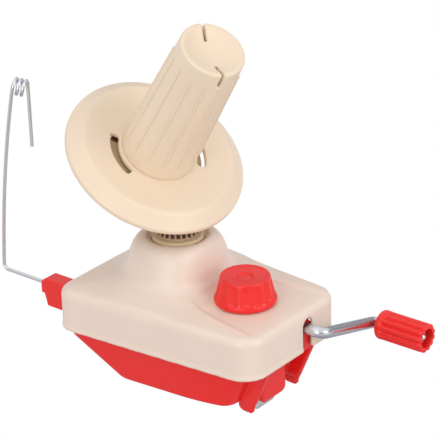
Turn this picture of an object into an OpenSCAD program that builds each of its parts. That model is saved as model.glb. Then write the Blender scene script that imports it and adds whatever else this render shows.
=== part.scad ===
// Hand-cranked yarn ball winder that clamps to a table edge.
// The origin is on the table top, under the spindle axis. +X points to the crank end, +Z up.

/* [Casing] */
// Length of the casing, rear wall to crank end
body_len = 127.8; // [124:0.1:140]
// Distance from the spindle axis to the rear wall
body_rear = 49.1; // [46:0.1:52]
// Width of the casing at the rear wall
body_rear_w = 98.4; // [94:0.1:116]
// Width of the casing at the crank end
body_front_w = 78; // [74:0.1:92]
// Height of the straight wall of the upper shell
wall_h = 22.9; // [22:0.1:28]
// Height of the lower shell, table seat to parting line
hull_h = 23.7; // [22:0.1:28]
// Corner radius of the casing in plan
corner_r = 12.4; // [8:0.1:16]
// Wall thickness of both shells
shell_t = 2.2; // [1.6:0.1:2.8]
// Height of the neck above the pocket floor
neck_h = 27.3; // [25:0.1:32]
// Outer radius of the collar at the top of the neck
collar_r = 20.3; // [18.5:0.1:22]
// Radius of the opening in the collar
collar_open_r = 15.8; // [14:0.1:17]
// Rise of the roof from the wall to the foot of the neck
roof_rise = 3.6; // [2:0.1:5]
// Distance from the spindle axis to the end wall of the knob pocket
pocket_x = 21.8; // [20:0.1:24]
// Half width of the knob pocket at its end wall
pocket_half = 23; // [20:0.1:26]
// Half width of the knob pocket at the crank end
pocket_mouth_half = 33; // [28:0.1:34]
// Inset of the lower shell under the wall
hull_inset = 2.6; // [2:0.1:4]
// Further inset of the lower shell at its bottom
hull_draft = 4; // [1:0.1:6]
// Where the flat bottom starts behind the spindle axis
seat_rear = 12; // [10:0.1:18]

/* [Crank] */
// Sideways offset of the crank shaft from the centre line
crank_y = 10.2; // [9.8:0.1:11.5]
// Height of the crank shaft above the parting line
crank_up = 12; // [11:0.1:13]
// Radius of the crank rod
rod_r = 3.15; // [2.6:0.05:3.4]
// Radius of the crank, shaft axis to grip axis
crank_len = 50.4; // [44:0.1:64]
// Angle of the crank arm below the horizontal
crank_drop = 15.5; // [0:0.1:40]
// Gap between the crank end wall and the arm
arm_gap = 5.7; // [4:0.1:12]
// Bend radius of the rod at its axis
bend_r = 4.2; // [4:0.1:7]
// Length of the grip
grip_len = 29.6; // [26:0.1:44]
// Radius of the grip
grip_r = 8.2; // [7.6:0.1:10]

/* [Gears] */
// Teeth of the bevel gear on the crank
crank_teeth = 16; // [16:1:16]
// Teeth of the bevel gear on the idler
idler_bevel_teeth = 14; // [14:1:14]
// Module of the bevel pair
bevel_m = 0.9; // [0.85:0.01:0.92]
// Teeth of the spur gear on the idler
idler_spur_teeth = 28; // [28:1:28]
// Teeth of the pinion on the spindle
pinion_teeth = 11; // [11:1:11]
// Module of the spur pair
spur_m = 1; // [0.98:0.01:1.03]
// Teeth of the fixed gear at the collar
fixed_teeth = 24; // [24:1:24]
// Teeth of the gear on the cone's axle
hub_teeth = 53; // [53:1:53]
// Play between meshing teeth
tooth_play = 0.3; // [0.2:0.05:0.4]

/* [Winding head] */
// Tilt of the cone from the upright
cone_tilt = 34.8; // [34:0.1:36]
// Direction in which the cone leans at rest
lean_turn = -11.1; // [-40:0.1:40]
// Height at which the tilted axle would cross the spindle axis, above the collar
cross_up = 63.7; // [62:0.1:66]
// Radius of the disc
disc_r = 50; // [46:0.1:56]
// Distance of the disc below the crossing, along the axle
disc_down = 23.8; // [23:0.1:26]
// Drop of the disc's rim below its floor
rim_down = 5.5; // [4:0.1:7]
// Length of the cone
cone_len = 83.8; // [76:0.1:106]
// Radius of the cone at its foot
cone_foot_r = 20.2; // [19.5:0.1:21]
// Radius of the cone at its top
cone_top_r = 17.4; // [15:0.1:19]
// Wall thickness of the cone and the disc
cone_t = 2.4; // [2:0.1:3]
// Number of ribs along the cone
rib_count = 14; // [8:1:20]
// Width of the yarn slots in the cone's top
slot_w = 1.8; // [1.5:0.1:4]
// Radius of the spindle
spindle_r = 3; // [2.6:0.1:3.4]
// Radius of the cone's axle
axle_r = 4; // [3.4:0.1:4.4]

/* [Table clamp] */
// Distance from the spindle axis to the clamp screw
knob_x = 45.3; // [44.5:0.1:47]
// Radius of the knob at its foot
knob_r = 16.8; // [14:0.1:18]
// Radius of the knob at its top
knob_top_r = 12.8; // [11:0.1:13.5]
// Height of the knob
knob_h = 14.8; // [12:0.1:20]
// Radius of the clamp screw
screw_r = 3; // [2.5:0.1:3.2]
// Width of the clamp strip
strip_w = 12.6; // [11:0.1:12.8]
// Thickness of the clamp strip
strip_t = 2.5; // [2:0.1:3]
// Distance from the spindle axis to the front face of the strip
strip_x = 58.5; // [57.5:0.1:60]
// Open gap between the table seat and the jaw pad at rest
jaw_gap = 8.4; // [8:0.1:9]
// Distance from the front face of the strip to the end of the jaw
jaw_len = 34; // [26:0.1:44]
// Height of the strip's upper arm above the table seat at rest
arm_up = 23.6; // [23.4:0.1:24]

/* [Yarn guide] */
// Radius of the guide wire
wire_r = 1; // [0.8:0.05:1.2]
// Reach of the wire behind the rear wall
wire_reach = 54; // [48:0.1:80]
// Height of the wire's eye above its foot
wire_rise = 110.8; // [90:0.1:150]
// Lean of the wire at its foot
foot_lean = 3.7; // [0:0.1:8]
// Lean of the wire where its eye starts
eye_lean = 13.6; // [12:0.1:24]
// Full turns of the eye before the half turn into the tail
eye_turns = 2; // [1:1:3]
// Mean radius of the eye's turns
eye_r = 4; // [3:0.1:6]
// Step from turn to turn of the eye
eye_step = 2.7; // [2.6:0.1:5]
// Length of the free tail
tail_len = 35.5; // [20:0.5:50]
// Sideways place of the wire's foot
guide_y = -30.2; // [-32:0.1:-26]
// Height of the wire's foot above the parting line
guide_up = 12.4; // [11:0.1:14]
// Length of the guide block behind the rear wall
block_len = 18.4; // [14:0.1:26]

/* [Fits] */
// Clearance of a turning or sliding fit, on the radius
run_fit = 0.05; // [0.03:0.01:0.09]
// Gap between parts that pass each other
pass_gap = 0.6; // [0.4:0.05:0.8]

/* [Hidden] */
$fn = 48;

CREAM = "#e8d7c0";
RED = "#e23a36";
STEEL = "#c9ccd0";
BRASS = "#c8a858";
NYLON = "#efe6d2";
RUBBER = "#3a3a3c";

// Small overlap that lets solids of one piece merge
merge = 0.2;

// Levels and plan of the casing
front_x = body_len - body_rear;
taper = (body_front_w - body_rear_w) / 2 / body_len;
pocket_z = hull_h + wall_h;
collar_z = pocket_z + neck_h;
ceiling_z = pocket_z - shell_t;
roof_z = pocket_z + roof_rise;
edge_r = 1.6;
function half_w(x) = body_rear_w / 2 + taper * (x + body_rear);

// Neck and the floor of its collar
neck_foot_r = 37.5;
neck_hollow_r = pocket_x - shell_t;
collar_floor_z = collar_z - 6;
collar_floor_t = 3;

// Screws that join the shells
join_rear_x = -body_rear + 13;
join_front_x = strip_x - 9;
join_inset = 12;
join_r = 4.6;
join_screw_r = 1.4;
join_head_r = 2.8;
join_head_h = 2;
join_top_z = pocket_z - 10;
function join_spots() = [for (x = [join_rear_x, join_front_x]) for (s = [-1, 1])
  [x, s * (half_w(x) - join_inset)]];
join_head_z = [for (p = join_spots()) p[0] < 0 ? hull_h - 4.5 : shell_t + 4];

// Bevel and spur train
crank_z = hull_h + crank_up;
spur_dist = (idler_spur_teeth + pinion_teeth) * spur_m / 2;
idler_x = sqrt(spur_dist * spur_dist - crank_y * crank_y);
idler_turn = atan2(crank_y, idler_x);
crank_gear_r = crank_teeth * bevel_m / 2;
idler_bevel_r = idler_bevel_teeth * bevel_m / 2;
bevel_keep = 0.69;
crank_gear_x = idler_x + idler_bevel_r;
crank_gear_h = idler_bevel_r * (1 - bevel_keep);
idler_bevel_z = crank_z - crank_gear_r;
idler_bevel_h = crank_gear_r * (1 - bevel_keep);
crank_hub_r = 5;
spur_z = 14;
spur_h = 6;
idler_hub_r = 4.6;
idler_pin_r = 2;
idler_boss_r = 5.5;
idler_foot_z = spur_z - 0.3;
push_ring_t = 1;

// Crank shaft supports
arm_end_x = knob_x - strip_w / 2;
inner_stand_x = idler_x + (idler_spur_teeth / 2 + 0.8) * spur_m + 1;
inner_stand_len = arm_end_x - pass_gap - inner_stand_x;
outer_stand_len = 8;
outer_stand_x = front_x - shell_t - pass_gap - outer_stand_len;
bush_r = 4.6;
stand_half = 5.6;
stand_lip = 2;
crank_hub_len = inner_stand_x - 0.4 - crank_gear_x;
crank_ring_x = inner_stand_x + inner_stand_len + 0.3;
arch_half = 4.05;
arch_top = 2.15;
rod_in_x = idler_x + idler_bevel_r * bevel_keep;
arm_x = front_x + arm_gap + rod_r;
grip_x = arm_x + bend_r + 0.3;
grip_recess = 6;
grip_nut_r = 4.4;
grip_nut_t = 2;
rod_end_x = grip_x + grip_len - grip_recess + grip_nut_t + 1.2;
grip_y = crank_y + crank_len * cos(crank_drop);
grip_z = crank_z - crank_len * sin(crank_drop);

// Winding head, along the tilted axle from the crossing
cross_z = collar_z + cross_up;
fixed_z = collar_z + 1.4;
fixed_h = 4.8;
pitch_ratio = fixed_teeth / hub_teeth;
fixed_cone = atan(sin(cone_tilt) * pitch_ratio / (1 + pitch_ratio * cos(cone_tilt)));
hub_cone = cone_tilt - fixed_cone;
fixed_true_r = (cross_z - fixed_z) * tan(fixed_cone);
fixed_m = 2 * fixed_true_r / fixed_teeth;
mesh_dist = (cross_z - fixed_z) / cos(fixed_cone);
head_keep = (cross_z - fixed_z - fixed_h) / (cross_z - fixed_z);
hub_gear_down = mesh_dist * cos(hub_cone);
hub_gear_r = mesh_dist * sin(hub_cone);
hub_gear_h = hub_gear_down * (1 - head_keep);
stem_r = 6.4;
stem_foot_r = collar_open_r - 1.8;
stem_foot_h = fixed_z - 1.1 - collar_floor_z;
stem_step_r = 10.2;
stem_down = 5;
spindle_foot_z = shell_t + 0.8;
bush_wall = 2.4;
spindle_seat_r = spindle_r + bush_wall + 3;
spindle_seat_z = 9;
pinion_z = spur_z - 1;
pinion_h = spur_h + 2;
rotor_z = fixed_z + fixed_h + pass_gap;
rotor_hub_r = 7.4;
rotor_hub_h = 13;
rotor_arm_w = 12;
rotor_boss_r = 8.6;
disc_t = 3;
rotor_top_down = disc_down + disc_t + 1.2;
rotor_foot_down = hub_gear_down - hub_gear_h - 1.1;
axle_bush_wall = 1.6;
axle_end_down = hub_gear_down + 2.2;
axle_top_up = 12;
cone_hub_r = axle_r + 3.4;
ridge_r = disc_r - 8;
ridge_up = 1.5;
dish_r = cone_foot_r + 9;
arc_slot_in = cone_foot_r + 1.8;
arc_slot_out = cone_foot_r + 6.6;
arc_slot_span = 62;
arc_slot_turn = -104.5;
flange_screw_at = 13.6;
guard_r = arc_slot_out - 1;
guard_t = 1.8;
flange_screw_r = 1.5;
flange_head_r = 2.8;
flange_head_h = 1.6;
cone_dish = 4.5;
slot_depth = 9;
slot_from_r = 8;
slot_turn = -16.5;
rib_phase = 0.57;
rib_up = 0.45;
rib_w = 1.7;

// Table clamp
knob_lift = 0.6;
washer_r = 9;
clamp_boss_r = 6.2;
clamp_boss_h = 6.6;
clamp_screw_foot = shell_t + 2;
arm_z = arm_up;
nut_flat = 10;
nut_h = 5;
pad_t = 2;
pad_len = 20;
jaw_z = -jaw_gap - pad_t - strip_t;
guide_wall = 4;
guide_half = strip_w / 2 + 0.3 + guide_wall;
strip_slack = 0.3;
leg_t = 3.6;
leg_y = 19.4;
leg_drop = 6;
lip_drop = 5.5;
stop_x = strip_x - strip_t - 1.3;
nose_lean = 24.2;
nose_corner_r = 9;
nose_half = 24.5;

// Yarn guide
guide_z = hull_h + guide_up;
block_w = 9.5;
block_h = 16.6;
block_z = hull_h + 1.2;
nose_len = 3.4;
block_end_x = -body_rear - block_len;
wire_in_x = -body_rear - 3.5;
elbow_r = 3;
elbow_x = -body_rear - wire_reach;
elbow_turn = 90 + foot_lean;
elbow_top = [elbow_r * (1 - cos(foot_lean)), 0, elbow_r * (1 + sin(foot_lean))];
bow_r = (wire_rise - elbow_top[2]) / (sin(eye_lean) - sin(foot_lean));
eye_start = [elbow_top[0] + bow_r * (cos(foot_lean) - cos(eye_lean)), 0, wire_rise];
eye_turn = 30;
eye_up = [sin(eye_lean), 0, cos(eye_lean)];
eye_side = [cos(eye_turn), sin(eye_turn), 0];
eye_level = eye_side - (eye_side * eye_up) * eye_up;
eye_axis = eye_level / norm(eye_level);
eye_back = cross(eye_up, eye_axis);
eye_centre = eye_start + eye_r * eye_back;
eye_sweep = 360 * eye_turns + 180;
guide_screw_r = 1.5;
guide_screw_head_r = 2.9;
guide_screw_z = block_z + 3.4;

// Involute teeth: polygon of a gear with n teeth of module m, one tooth on the X axis
pressure = 20;
function involute(a) = tan(a) * 180 / PI - a;
function flank(r, base, half) = half + involute(pressure) - involute(acos(min(1, base / r)));
function tooth(n, m, add, ded) =
  let (
    pitch = n * m / 2,
    base = pitch * cos(pressure),
    half = 90 / n - tooth_play / 2 / pitch * 180 / PI / 2,
    tip = pitch + add * m,
    root = pitch - ded * m
  )
  [[root, flank(max(root, base), base, half)], [pitch, half], [tip, flank(tip, base, half)]];
function polar(r, a) = [r * cos(a), r * sin(a)];
function gear_points(n, m, add, ded) =
  let (t = tooth(n, m, add, ded))
  [for (i = [0:n - 1]) each concat(
    [for (p = t) polar(p[0], 360 / n * i - p[1])],
    [for (k = [2:-1:0]) polar(t[k][0], 360 / n * i + t[k][1])]
  )];

// Shared shapes

// Outline of the casing in plan, moved inwards by inset
module plan(inset) {
  r = max(corner_r - inset, 2);
  lean = atan(-taper);
  stretch = 1 / cos(lean);
  ends = [-body_rear + inset + r, front_x - inset - r];
  function mid(x) = half_w(x) - (inset + r) * stretch;
  for (x = ends) for (s = [-1, 1]) translate([x, s * mid(x)]) circle(r);
  side = [for (x = ends) [x + r * sin(lean), mid(x) + r * cos(lean)]];
  polygon([
    [ends[0] - r, -mid(ends[0])],
    [side[0][0], -side[0][1]],
    [side[1][0], -side[1][1]],
    [ends[1] + r, -mid(ends[1])],
    [ends[1] + r, mid(ends[1])],
    side[1],
    side[0],
    [ends[0] - r, mid(ends[0])]
  ]);
}

// Plan of the knob pocket
module pocket_plan() {
  r = 5;
  far = front_x + 10;
  slope = (pocket_mouth_half - pocket_half) / (front_x - pocket_x);
  far_half = pocket_half + slope * (far - pocket_x);
  near_half = pocket_half + slope * r;
  for (s = [-1, 1]) translate([pocket_x + r, s * (near_half - r)]) circle(r);
  polygon([
    [pocket_x, r - near_half],
    [pocket_x + r, -near_half],
    [far, -far_half],
    [far, far_half],
    [pocket_x + r, near_half],
    [pocket_x, near_half - r]
  ]);
}

// Cylinder along X between two places
module along_x(x0, x1, r) {
  translate([x0, 0, 0]) rotate([0, 90, 0]) cylinder(h = x1 - x0, r = r);
}

// Ring around the Z axis
module ring(h, outer, inner) {
  difference() {
    cylinder(h = h, r = outer);
    translate([0, 0, -1]) cylinder(h = h + 2, r = inner);
  }
}

// Moves children onto the tilted axle: the crossing is at their origin, +Z runs up the axle
module on_axle() {
  translate([0, 0, cross_z]) rotate([0, cone_tilt, lean_turn]) children();
}

// Places children at each joining screw
module at_joins() {
  for (i = [0:3]) translate([join_spots()[i][0], join_spots()[i][1], 0]) children(0);
}

// Casing

// Outline of the neck: a cove at the foot, a slanted flank and a rounded rim
module neck_profile() {
  polygon([
    [0, pocket_z - 1],
    [neck_foot_r, pocket_z - 1],
    [neck_foot_r, roof_z - 1.4],
    [neck_foot_r - 3.5, roof_z + 0.7],
    [neck_foot_r - 6.3, roof_z + 3],
    [neck_foot_r - 8.5, roof_z + 6.5],
    [collar_r + 7.1, collar_z - 12.7],
    [collar_r + 5.7, collar_z - 8.2],
    [collar_r + 4.1, collar_z - 4.8],
    [collar_r + 2.2, collar_z - 2],
    [collar_r, collar_z],
    [0, collar_z]
  ]);
}

// Wall with a rounded upper edge, hipped roof and neck
module upper_shell_body() {
  hull() {
    translate([0, 0, hull_h]) linear_extrude(wall_h - edge_r) plan(0, $fn = 40);
    translate([0, 0, pocket_z - 0.4 * edge_r]) linear_extrude(0.01) plan(0.4 * edge_r, $fn = 40);
    translate([0, 0, pocket_z + 0.01]) linear_extrude(0.01) plan(edge_r, $fn = 40);
    translate([0, 0, roof_z - 0.01]) cylinder(h = 0.01, r = neck_foot_r - 3, $fn = 32);
  }
  rotate_extrude() neck_profile();
}

module upper_shell_hollow() {
  translate([0, 0, hull_h - 1]) linear_extrude(wall_h - shell_t + 1) plan(shell_t);
  // Hollow of the neck, up to the floor of the collar
  low_z = ceiling_z - merge;
  high_z = collar_floor_z - collar_floor_t;
  translate([0, 0, low_z]) cylinder(h = high_z - low_z, r = neck_hollow_r);
  // Bowl of the collar
  translate([0, 0, collar_floor_z]) cylinder(h = collar_z, r = collar_open_r);
}

module upper_shell() color(CREAM) {
  difference() {
    union() {
      difference() {
        upper_shell_body();
        translate([0, 0, pocket_z]) linear_extrude(neck_h + 1) pocket_plan();
        upper_shell_hollow();
      }
      // Boss for the clamp screw, posts for the joining screws
      translate([knob_x, 0, pocket_z - clamp_boss_h]) cylinder(h = clamp_boss_h, r = clamp_boss_r);
      at_joins() translate([0, 0, hull_h]) cylinder(h = wall_h - shell_t / 2, r = join_r);
    }
    at_joins() translate([0, 0, hull_h - 1]) cylinder(h = join_top_z - hull_h + 1, r = join_screw_r);
    translate([knob_x, 0, pocket_z - clamp_boss_h - 1]) cylinder(h = clamp_boss_h + 2, r = screw_r + run_fit);
    translate([0, 0, collar_floor_z - collar_floor_t - 1]) cylinder(h = collar_floor_t + 2, r = stem_r);
    // Arch for the crank rod
    translate([front_x - shell_t - 1, crank_y, 0]) {
      translate([0, 0, crank_z + arch_top]) along_x(0, shell_t + 2, arch_half);
      translate([0, -arch_half, hull_h - 1])
        cube([shell_t + 2, 2 * arch_half, crank_z + arch_top - hull_h + 1]);
    }
    // Hole for the guide screw
    translate([-body_rear - 1, guide_y, guide_screw_z]) along_x(0, shell_t + 2, guide_screw_r);
  }
}

// Side view of the lower shell, moved inwards by inset, above floor
module hull_side(inset, floor, top) {
  rear_slope = (body_rear - hull_inset - seat_rear) / hull_h;
  rear = sqrt(1 + rear_slope * rear_slope) * inset;
  translate([0, 200, 0]) rotate([90, 0, 0]) linear_extrude(400) polygon([
    [-seat_rear - floor * rear_slope + rear, floor],
    [front_x, floor],
    [front_x, top],
    [-seat_rear - top * rear_slope + rear, top]
  ]);
}

// Plan of the leaning front wall with its round corners, moved inwards by inset
module nose_plan(inset) {
  r = nose_corner_r - inset;
  c = [(strip_x - 1) * cos(nose_lean) - nose_corner_r, nose_half];
  flank = 20;
  tangent = c + r * [sin(flank), cos(flank)];
  far = tangent + 2 * front_x * [-cos(flank), sin(flank)];
  for (s = [-1, 1]) translate([c[0], s * c[1]]) circle(r);
  polygon([
    [far[0], -far[1]],
    [tangent[0], -tangent[1]],
    [c[0] + r, -c[1]],
    [c[0] + r, c[1]],
    tangent,
    far
  ]);
}

// Body with drafted sides, moved inwards by inset
module drafted(inset) hull() {
  translate([0, 0, -1]) linear_extrude(0.01) plan(hull_inset + hull_draft + inset, $fn = 32);
  translate([0, 0, hull_h + 1]) linear_extrude(0.01) plan(hull_inset + inset, $fn = 32);
}

// Ledge that closes the space between the leaning front and the upper shell
module front_ledge() intersection() {
  drafted(merge);
  translate([0, -200, hull_h - shell_t]) cube([400, 400, shell_t]);
}

// Tub with drafted sides and a leaning front
module tub(inset, floor, top) {
  intersection() {
    drafted(inset);
    hull_side(inset, floor, top);
    rotate([0, nose_lean, 0]) translate([0, 0, -50]) linear_extrude(150) nose_plan(inset);
  }
}

// Stand that carries the crank shaft
module crank_stand(x, len, from_z) {
  translate([x, crank_y - stand_half, from_z]) cube([len, 2 * stand_half, crank_z - from_z]);
  translate([x, crank_y, crank_z]) along_x(0, len, stand_half);
}

// Posts of the joining screws
module join_posts() {
  for (p = join_spots()) translate([p[0], p[1], 0]) cylinder(h = hull_h, r = join_r);
}

// Slanted leg beside the clamp strip, which meets the table edge
module leg() {
  toe = stop_x + 0.6;
  front = front_x - hull_inset - 0.3;
  translate([0, leg_t / 2, 0]) rotate([90, 0, 0]) linear_extrude(leg_t) {
    polygon([
      [toe, 0.5],
      [toe, 3.9 - leg_drop],
      [toe + 3.7, 0.2 - leg_drop],
      [toe + 8.1, -leg_drop],
      [toe + 10.4, 2.8 - leg_drop],
      [front, hull_h - 2],
      [front, hull_h],
      [toe + 11.2, hull_h]
    ]);
    translate([toe + 3.7, 3.9 - leg_drop]) circle(3.7);
    translate([toe + 8.1, 2.4 - leg_drop]) circle(2.4);
  }
}

// Guide for the clamp strip, with a round-cornered lip below the table seat
module strip_guide() {
  r = 3.5;
  front = strip_x + guide_wall + 0.8;
  back = strip_x - strip_t - guide_wall;
  translate([back, -guide_half, 0]) cube([front - back, 2 * guide_half, hull_h - 3]);
  translate([stop_x, 0, 0]) rotate([90, 0, 90]) linear_extrude(front - stop_x) {
    translate([-guide_half, r - lip_drop]) square([2 * guide_half, lip_drop - r + 1]);
    translate([r - guide_half, -lip_drop]) square([2 * (guide_half - r), lip_drop]);
    for (s = [-1, 1]) translate([s * (guide_half - r), r - lip_drop]) circle(r);
  }
}

// Gusset on the front wall under the outer stand
module stand_root() {
  front = outer_stand_x + outer_stand_len;
  translate([0, crank_y + stand_half, 0]) rotate([90, 0, 0]) linear_extrude(2 * stand_half) polygon([
    [strip_x + 0.4, 3.5],
    [strip_x + guide_wall + 0.8, 2.5],
    [front, hull_h - 1.7],
    [front, hull_h],
    [strip_x + 7.5, hull_h]
  ]);
}

module lower_shell() color(RED) {
  difference() {
    union() {
      difference() {
        union() {
          tub(0, 0, hull_h);
          front_ledge();
        }
        tub(shell_t, shell_t, hull_h + 1);
      }
      // Posts end inside the walls
      intersection() {
        join_posts();
        tub(merge, merge, hull_h);
      }
      translate([0, 0, shell_t - merge]) cylinder(h = spindle_seat_z - shell_t + merge, r = spindle_seat_r);
      translate([idler_x, crank_y, shell_t - merge])
        cylinder(h = idler_foot_z - shell_t + merge, r = idler_boss_r);
      crank_stand(inner_stand_x, inner_stand_len, shell_t - merge);
      crank_stand(outer_stand_x, outer_stand_len, hull_h - merge);
      for (s = [-1, 1]) translate([0, s * leg_y, 0]) leg();
      strip_guide();
      stand_root();
    }
    // Channel of the clamp strip
    translate([strip_x - strip_t - strip_slack, -strip_w / 2 - strip_slack, -lip_drop - 1])
      cube([strip_t + 2 * strip_slack, strip_w + 2 * strip_slack, hull_h + lip_drop + 2]);
    // Way of the strip's lower arm through the lip
    translate([stop_x - 1, -strip_w / 2 - strip_slack, -lip_drop - 1])
      cube([strip_t + 1, strip_w + 2 * strip_slack, lip_drop + 1]);
    // Path of the strip's upper arm, down to the floor
    translate([arm_end_x - 1, -strip_w / 2 - strip_slack, shell_t])
      cube([strip_x - arm_end_x + 1, strip_w + 2 * strip_slack, hull_h]);
    translate([0, crank_y, crank_z]) {
      along_x(inner_stand_x - 1, inner_stand_x + inner_stand_len + 1, bush_r);
      along_x(outer_stand_x - 1, outer_stand_x + outer_stand_len - stand_lip, bush_r);
      along_x(outer_stand_x, outer_stand_x + outer_stand_len + 1, rod_r + 0.4);
    }
    translate([0, 0, spindle_foot_z]) cylinder(h = spindle_seat_z, r = spindle_r + bush_wall);
    translate([idler_x, crank_y, shell_t]) cylinder(h = idler_foot_z, r = idler_pin_r);
    for (i = [0:3]) translate([join_spots()[i][0], join_spots()[i][1], -1]) {
      cylinder(h = hull_h + 2, r = join_screw_r + 0.2);
      cylinder(h = join_head_z[i] + 1, r = join_head_r + 0.3);
    }
  }
}

// Screw with a cross recess, head downwards
module cross_screw(head_r, head_h, shank_r, len) {
  difference() {
    union() {
      cylinder(h = head_h, r = head_r);
      cylinder(h = len, r = shank_r);
    }
    for (a = [0, 90]) rotate(a) translate([-0.6 * head_r, -0.35, -1]) cube([1.2 * head_r, 0.7, 1 + 0.5 * head_h]);
  }
}

module housing_screws() color(STEEL)
  for (i = [0:3]) translate([join_spots()[i][0], join_spots()[i][1], join_head_z[i] - join_head_h])
    cross_screw(join_head_r, join_head_h, join_screw_r, join_top_z - 1 - join_head_z[i] + join_head_h);

// Fixed gear: stem in the collar floor, teeth above the collar
module fixed_gear() color(NYLON) difference() {
  union() {
    translate([0, 0, collar_floor_z - stem_down]) cylinder(h = fixed_z - collar_floor_z + stem_down + merge, r = stem_r);
    translate([0, 0, collar_floor_z]) cylinder(h = stem_foot_h, r = stem_foot_r);
    translate([0, 0, collar_floor_z]) cylinder(h = fixed_z - collar_floor_z + merge, r = stem_step_r);
    translate([0, 0, fixed_z]) rotate(lean_turn + 180)
      linear_extrude(fixed_h, scale = head_keep) polygon(gear_points(fixed_teeth, fixed_m, 0.75, 1));
  }
  translate([0, 0, collar_floor_z - stem_down - 1]) cylinder(h = 100, r = spindle_r + run_fit);
}

module spindle_bush() color(BRASS)
  translate([0, 0, spindle_foot_z]) difference() {
    cylinder(h = spindle_seat_z - spindle_foot_z, r = spindle_r + bush_wall);
    translate([0, 0, 1.5]) cylinder(h = spindle_seat_z, r = spindle_r + run_fit);
  }

module crank_bushes() color(BRASS)
  for (s = [[inner_stand_x, inner_stand_len], [outer_stand_x, outer_stand_len - stand_lip]])
    translate([s[0], crank_y, crank_z]) rotate([0, 90, 0]) ring(s[1], bush_r, rod_r + run_fit);

module idler_pin() color(STEEL)
  translate([idler_x, crank_y, shell_t])
    cylinder(h = idler_bevel_z + idler_bevel_h + push_ring_t + 1 - shell_t, r = idler_pin_r);

module idler_ring() color(STEEL)
  translate([idler_x, crank_y, idler_bevel_z + idler_bevel_h + 0.3])
    ring(push_ring_t, idler_pin_r + 1.2, idler_pin_r);

// Drive train

module crank_rod() color(STEEL) {
  straight = crank_len - 2 * bend_r;
  translate([0, crank_y, crank_z]) rotate([-crank_drop, 0, 0]) {
    along_x(rod_in_x, arm_x - bend_r, rod_r);
    translate([arm_x - bend_r, bend_r, 0]) rotate(-90)
      rotate_extrude(angle = 90) translate([bend_r, 0]) circle(rod_r);
    translate([arm_x, bend_r, 0]) rotate([-90, 0, 0]) cylinder(h = straight, r = rod_r);
    translate([arm_x + bend_r, crank_len - bend_r, 0]) rotate(90)
      rotate_extrude(angle = 90) translate([bend_r, 0]) circle(rod_r);
    translate([0, crank_len, 0]) along_x(arm_x + bend_r, rod_end_x, rod_r);
  }
}

module crank_gear() color(NYLON)
  translate([crank_gear_x, crank_y, crank_z]) difference() {
    union() {
      rotate([0, -90, 0]) rotate(180 / crank_teeth)
        linear_extrude(crank_gear_h, scale = bevel_keep)
          polygon(gear_points(crank_teeth, bevel_m, 0.7, 1));
      along_x(0, crank_hub_len, crank_hub_r);
    }
    along_x(-20, 40, rod_r);
  }

module crank_ring() color(STEEL)
  translate([crank_ring_x, crank_y, crank_z]) rotate([0, 90, 0]) ring(push_ring_t, rod_r + 1.05, rod_r);

module grip_nut() color(STEEL)
  translate([grip_x + grip_len - grip_recess + 0.3, grip_y, grip_z])
    rotate([0, 90, 0]) ring(grip_nut_t, grip_nut_r, rod_r);

module crank_grip() color(RED) {
  flutes = 12;
  translate([grip_x, grip_y, grip_z]) difference() {
    union() {
      along_x(1.6, grip_len, grip_r);
      along_x(0, grip_len, grip_r - 1.6);
    }
    along_x(-1, grip_len + 1, rod_r + run_fit);
    along_x(grip_len - grip_recess, grip_len + 1, grip_r - 2.4);
    for (i = [0:flutes - 1]) rotate([360 / flutes * i, 0, 0])
      translate([0, 0, grip_r + 0.7]) along_x(3.5, grip_len + 1, 1.25);
  }
}

module idler_gear() color(NYLON)
  translate([idler_x, crank_y, 0]) difference() {
    union() {
      translate([0, 0, idler_bevel_z]) linear_extrude(idler_bevel_h, scale = bevel_keep)
        polygon(gear_points(idler_bevel_teeth, bevel_m, 0.7, 1));
      translate([0, 0, spur_z]) cylinder(h = idler_bevel_z - spur_z + merge, r = idler_hub_r);
      translate([0, 0, spur_z]) rotate(idler_turn + 180)
        linear_extrude(spur_h) polygon(gear_points(idler_spur_teeth, spur_m, 0.8, 1.1));
    }
    cylinder(h = 100, r = idler_pin_r + run_fit);
  }

module spindle_shaft() color(STEEL)
  translate([0, 0, spindle_foot_z + 1.6]) cylinder(h = rotor_z + rotor_hub_h - spindle_foot_z - 1.6, r = spindle_r);

module spindle_pinion() color(NYLON)
  translate([0, 0, pinion_z]) difference() {
    rotate(idler_turn + 180 / pinion_teeth)
      linear_extrude(pinion_h) polygon(gear_points(pinion_teeth, spur_m, 0.8, 1.1));
    translate([0, 0, -1]) cylinder(h = pinion_h + 2, r = spindle_r);
  }

module spindle_ring() color(STEEL)
  translate([0, 0, collar_floor_z - stem_down - 0.3 - push_ring_t]) ring(push_ring_t, spindle_r + 2, spindle_r);

// Winding head

// Place on the spindle axis, seen from the tilted axle, at a height above the table seat
function on_spindle(z) = (cross_z - z) * [sin(cone_tilt), -cos(cone_tilt)];

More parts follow.
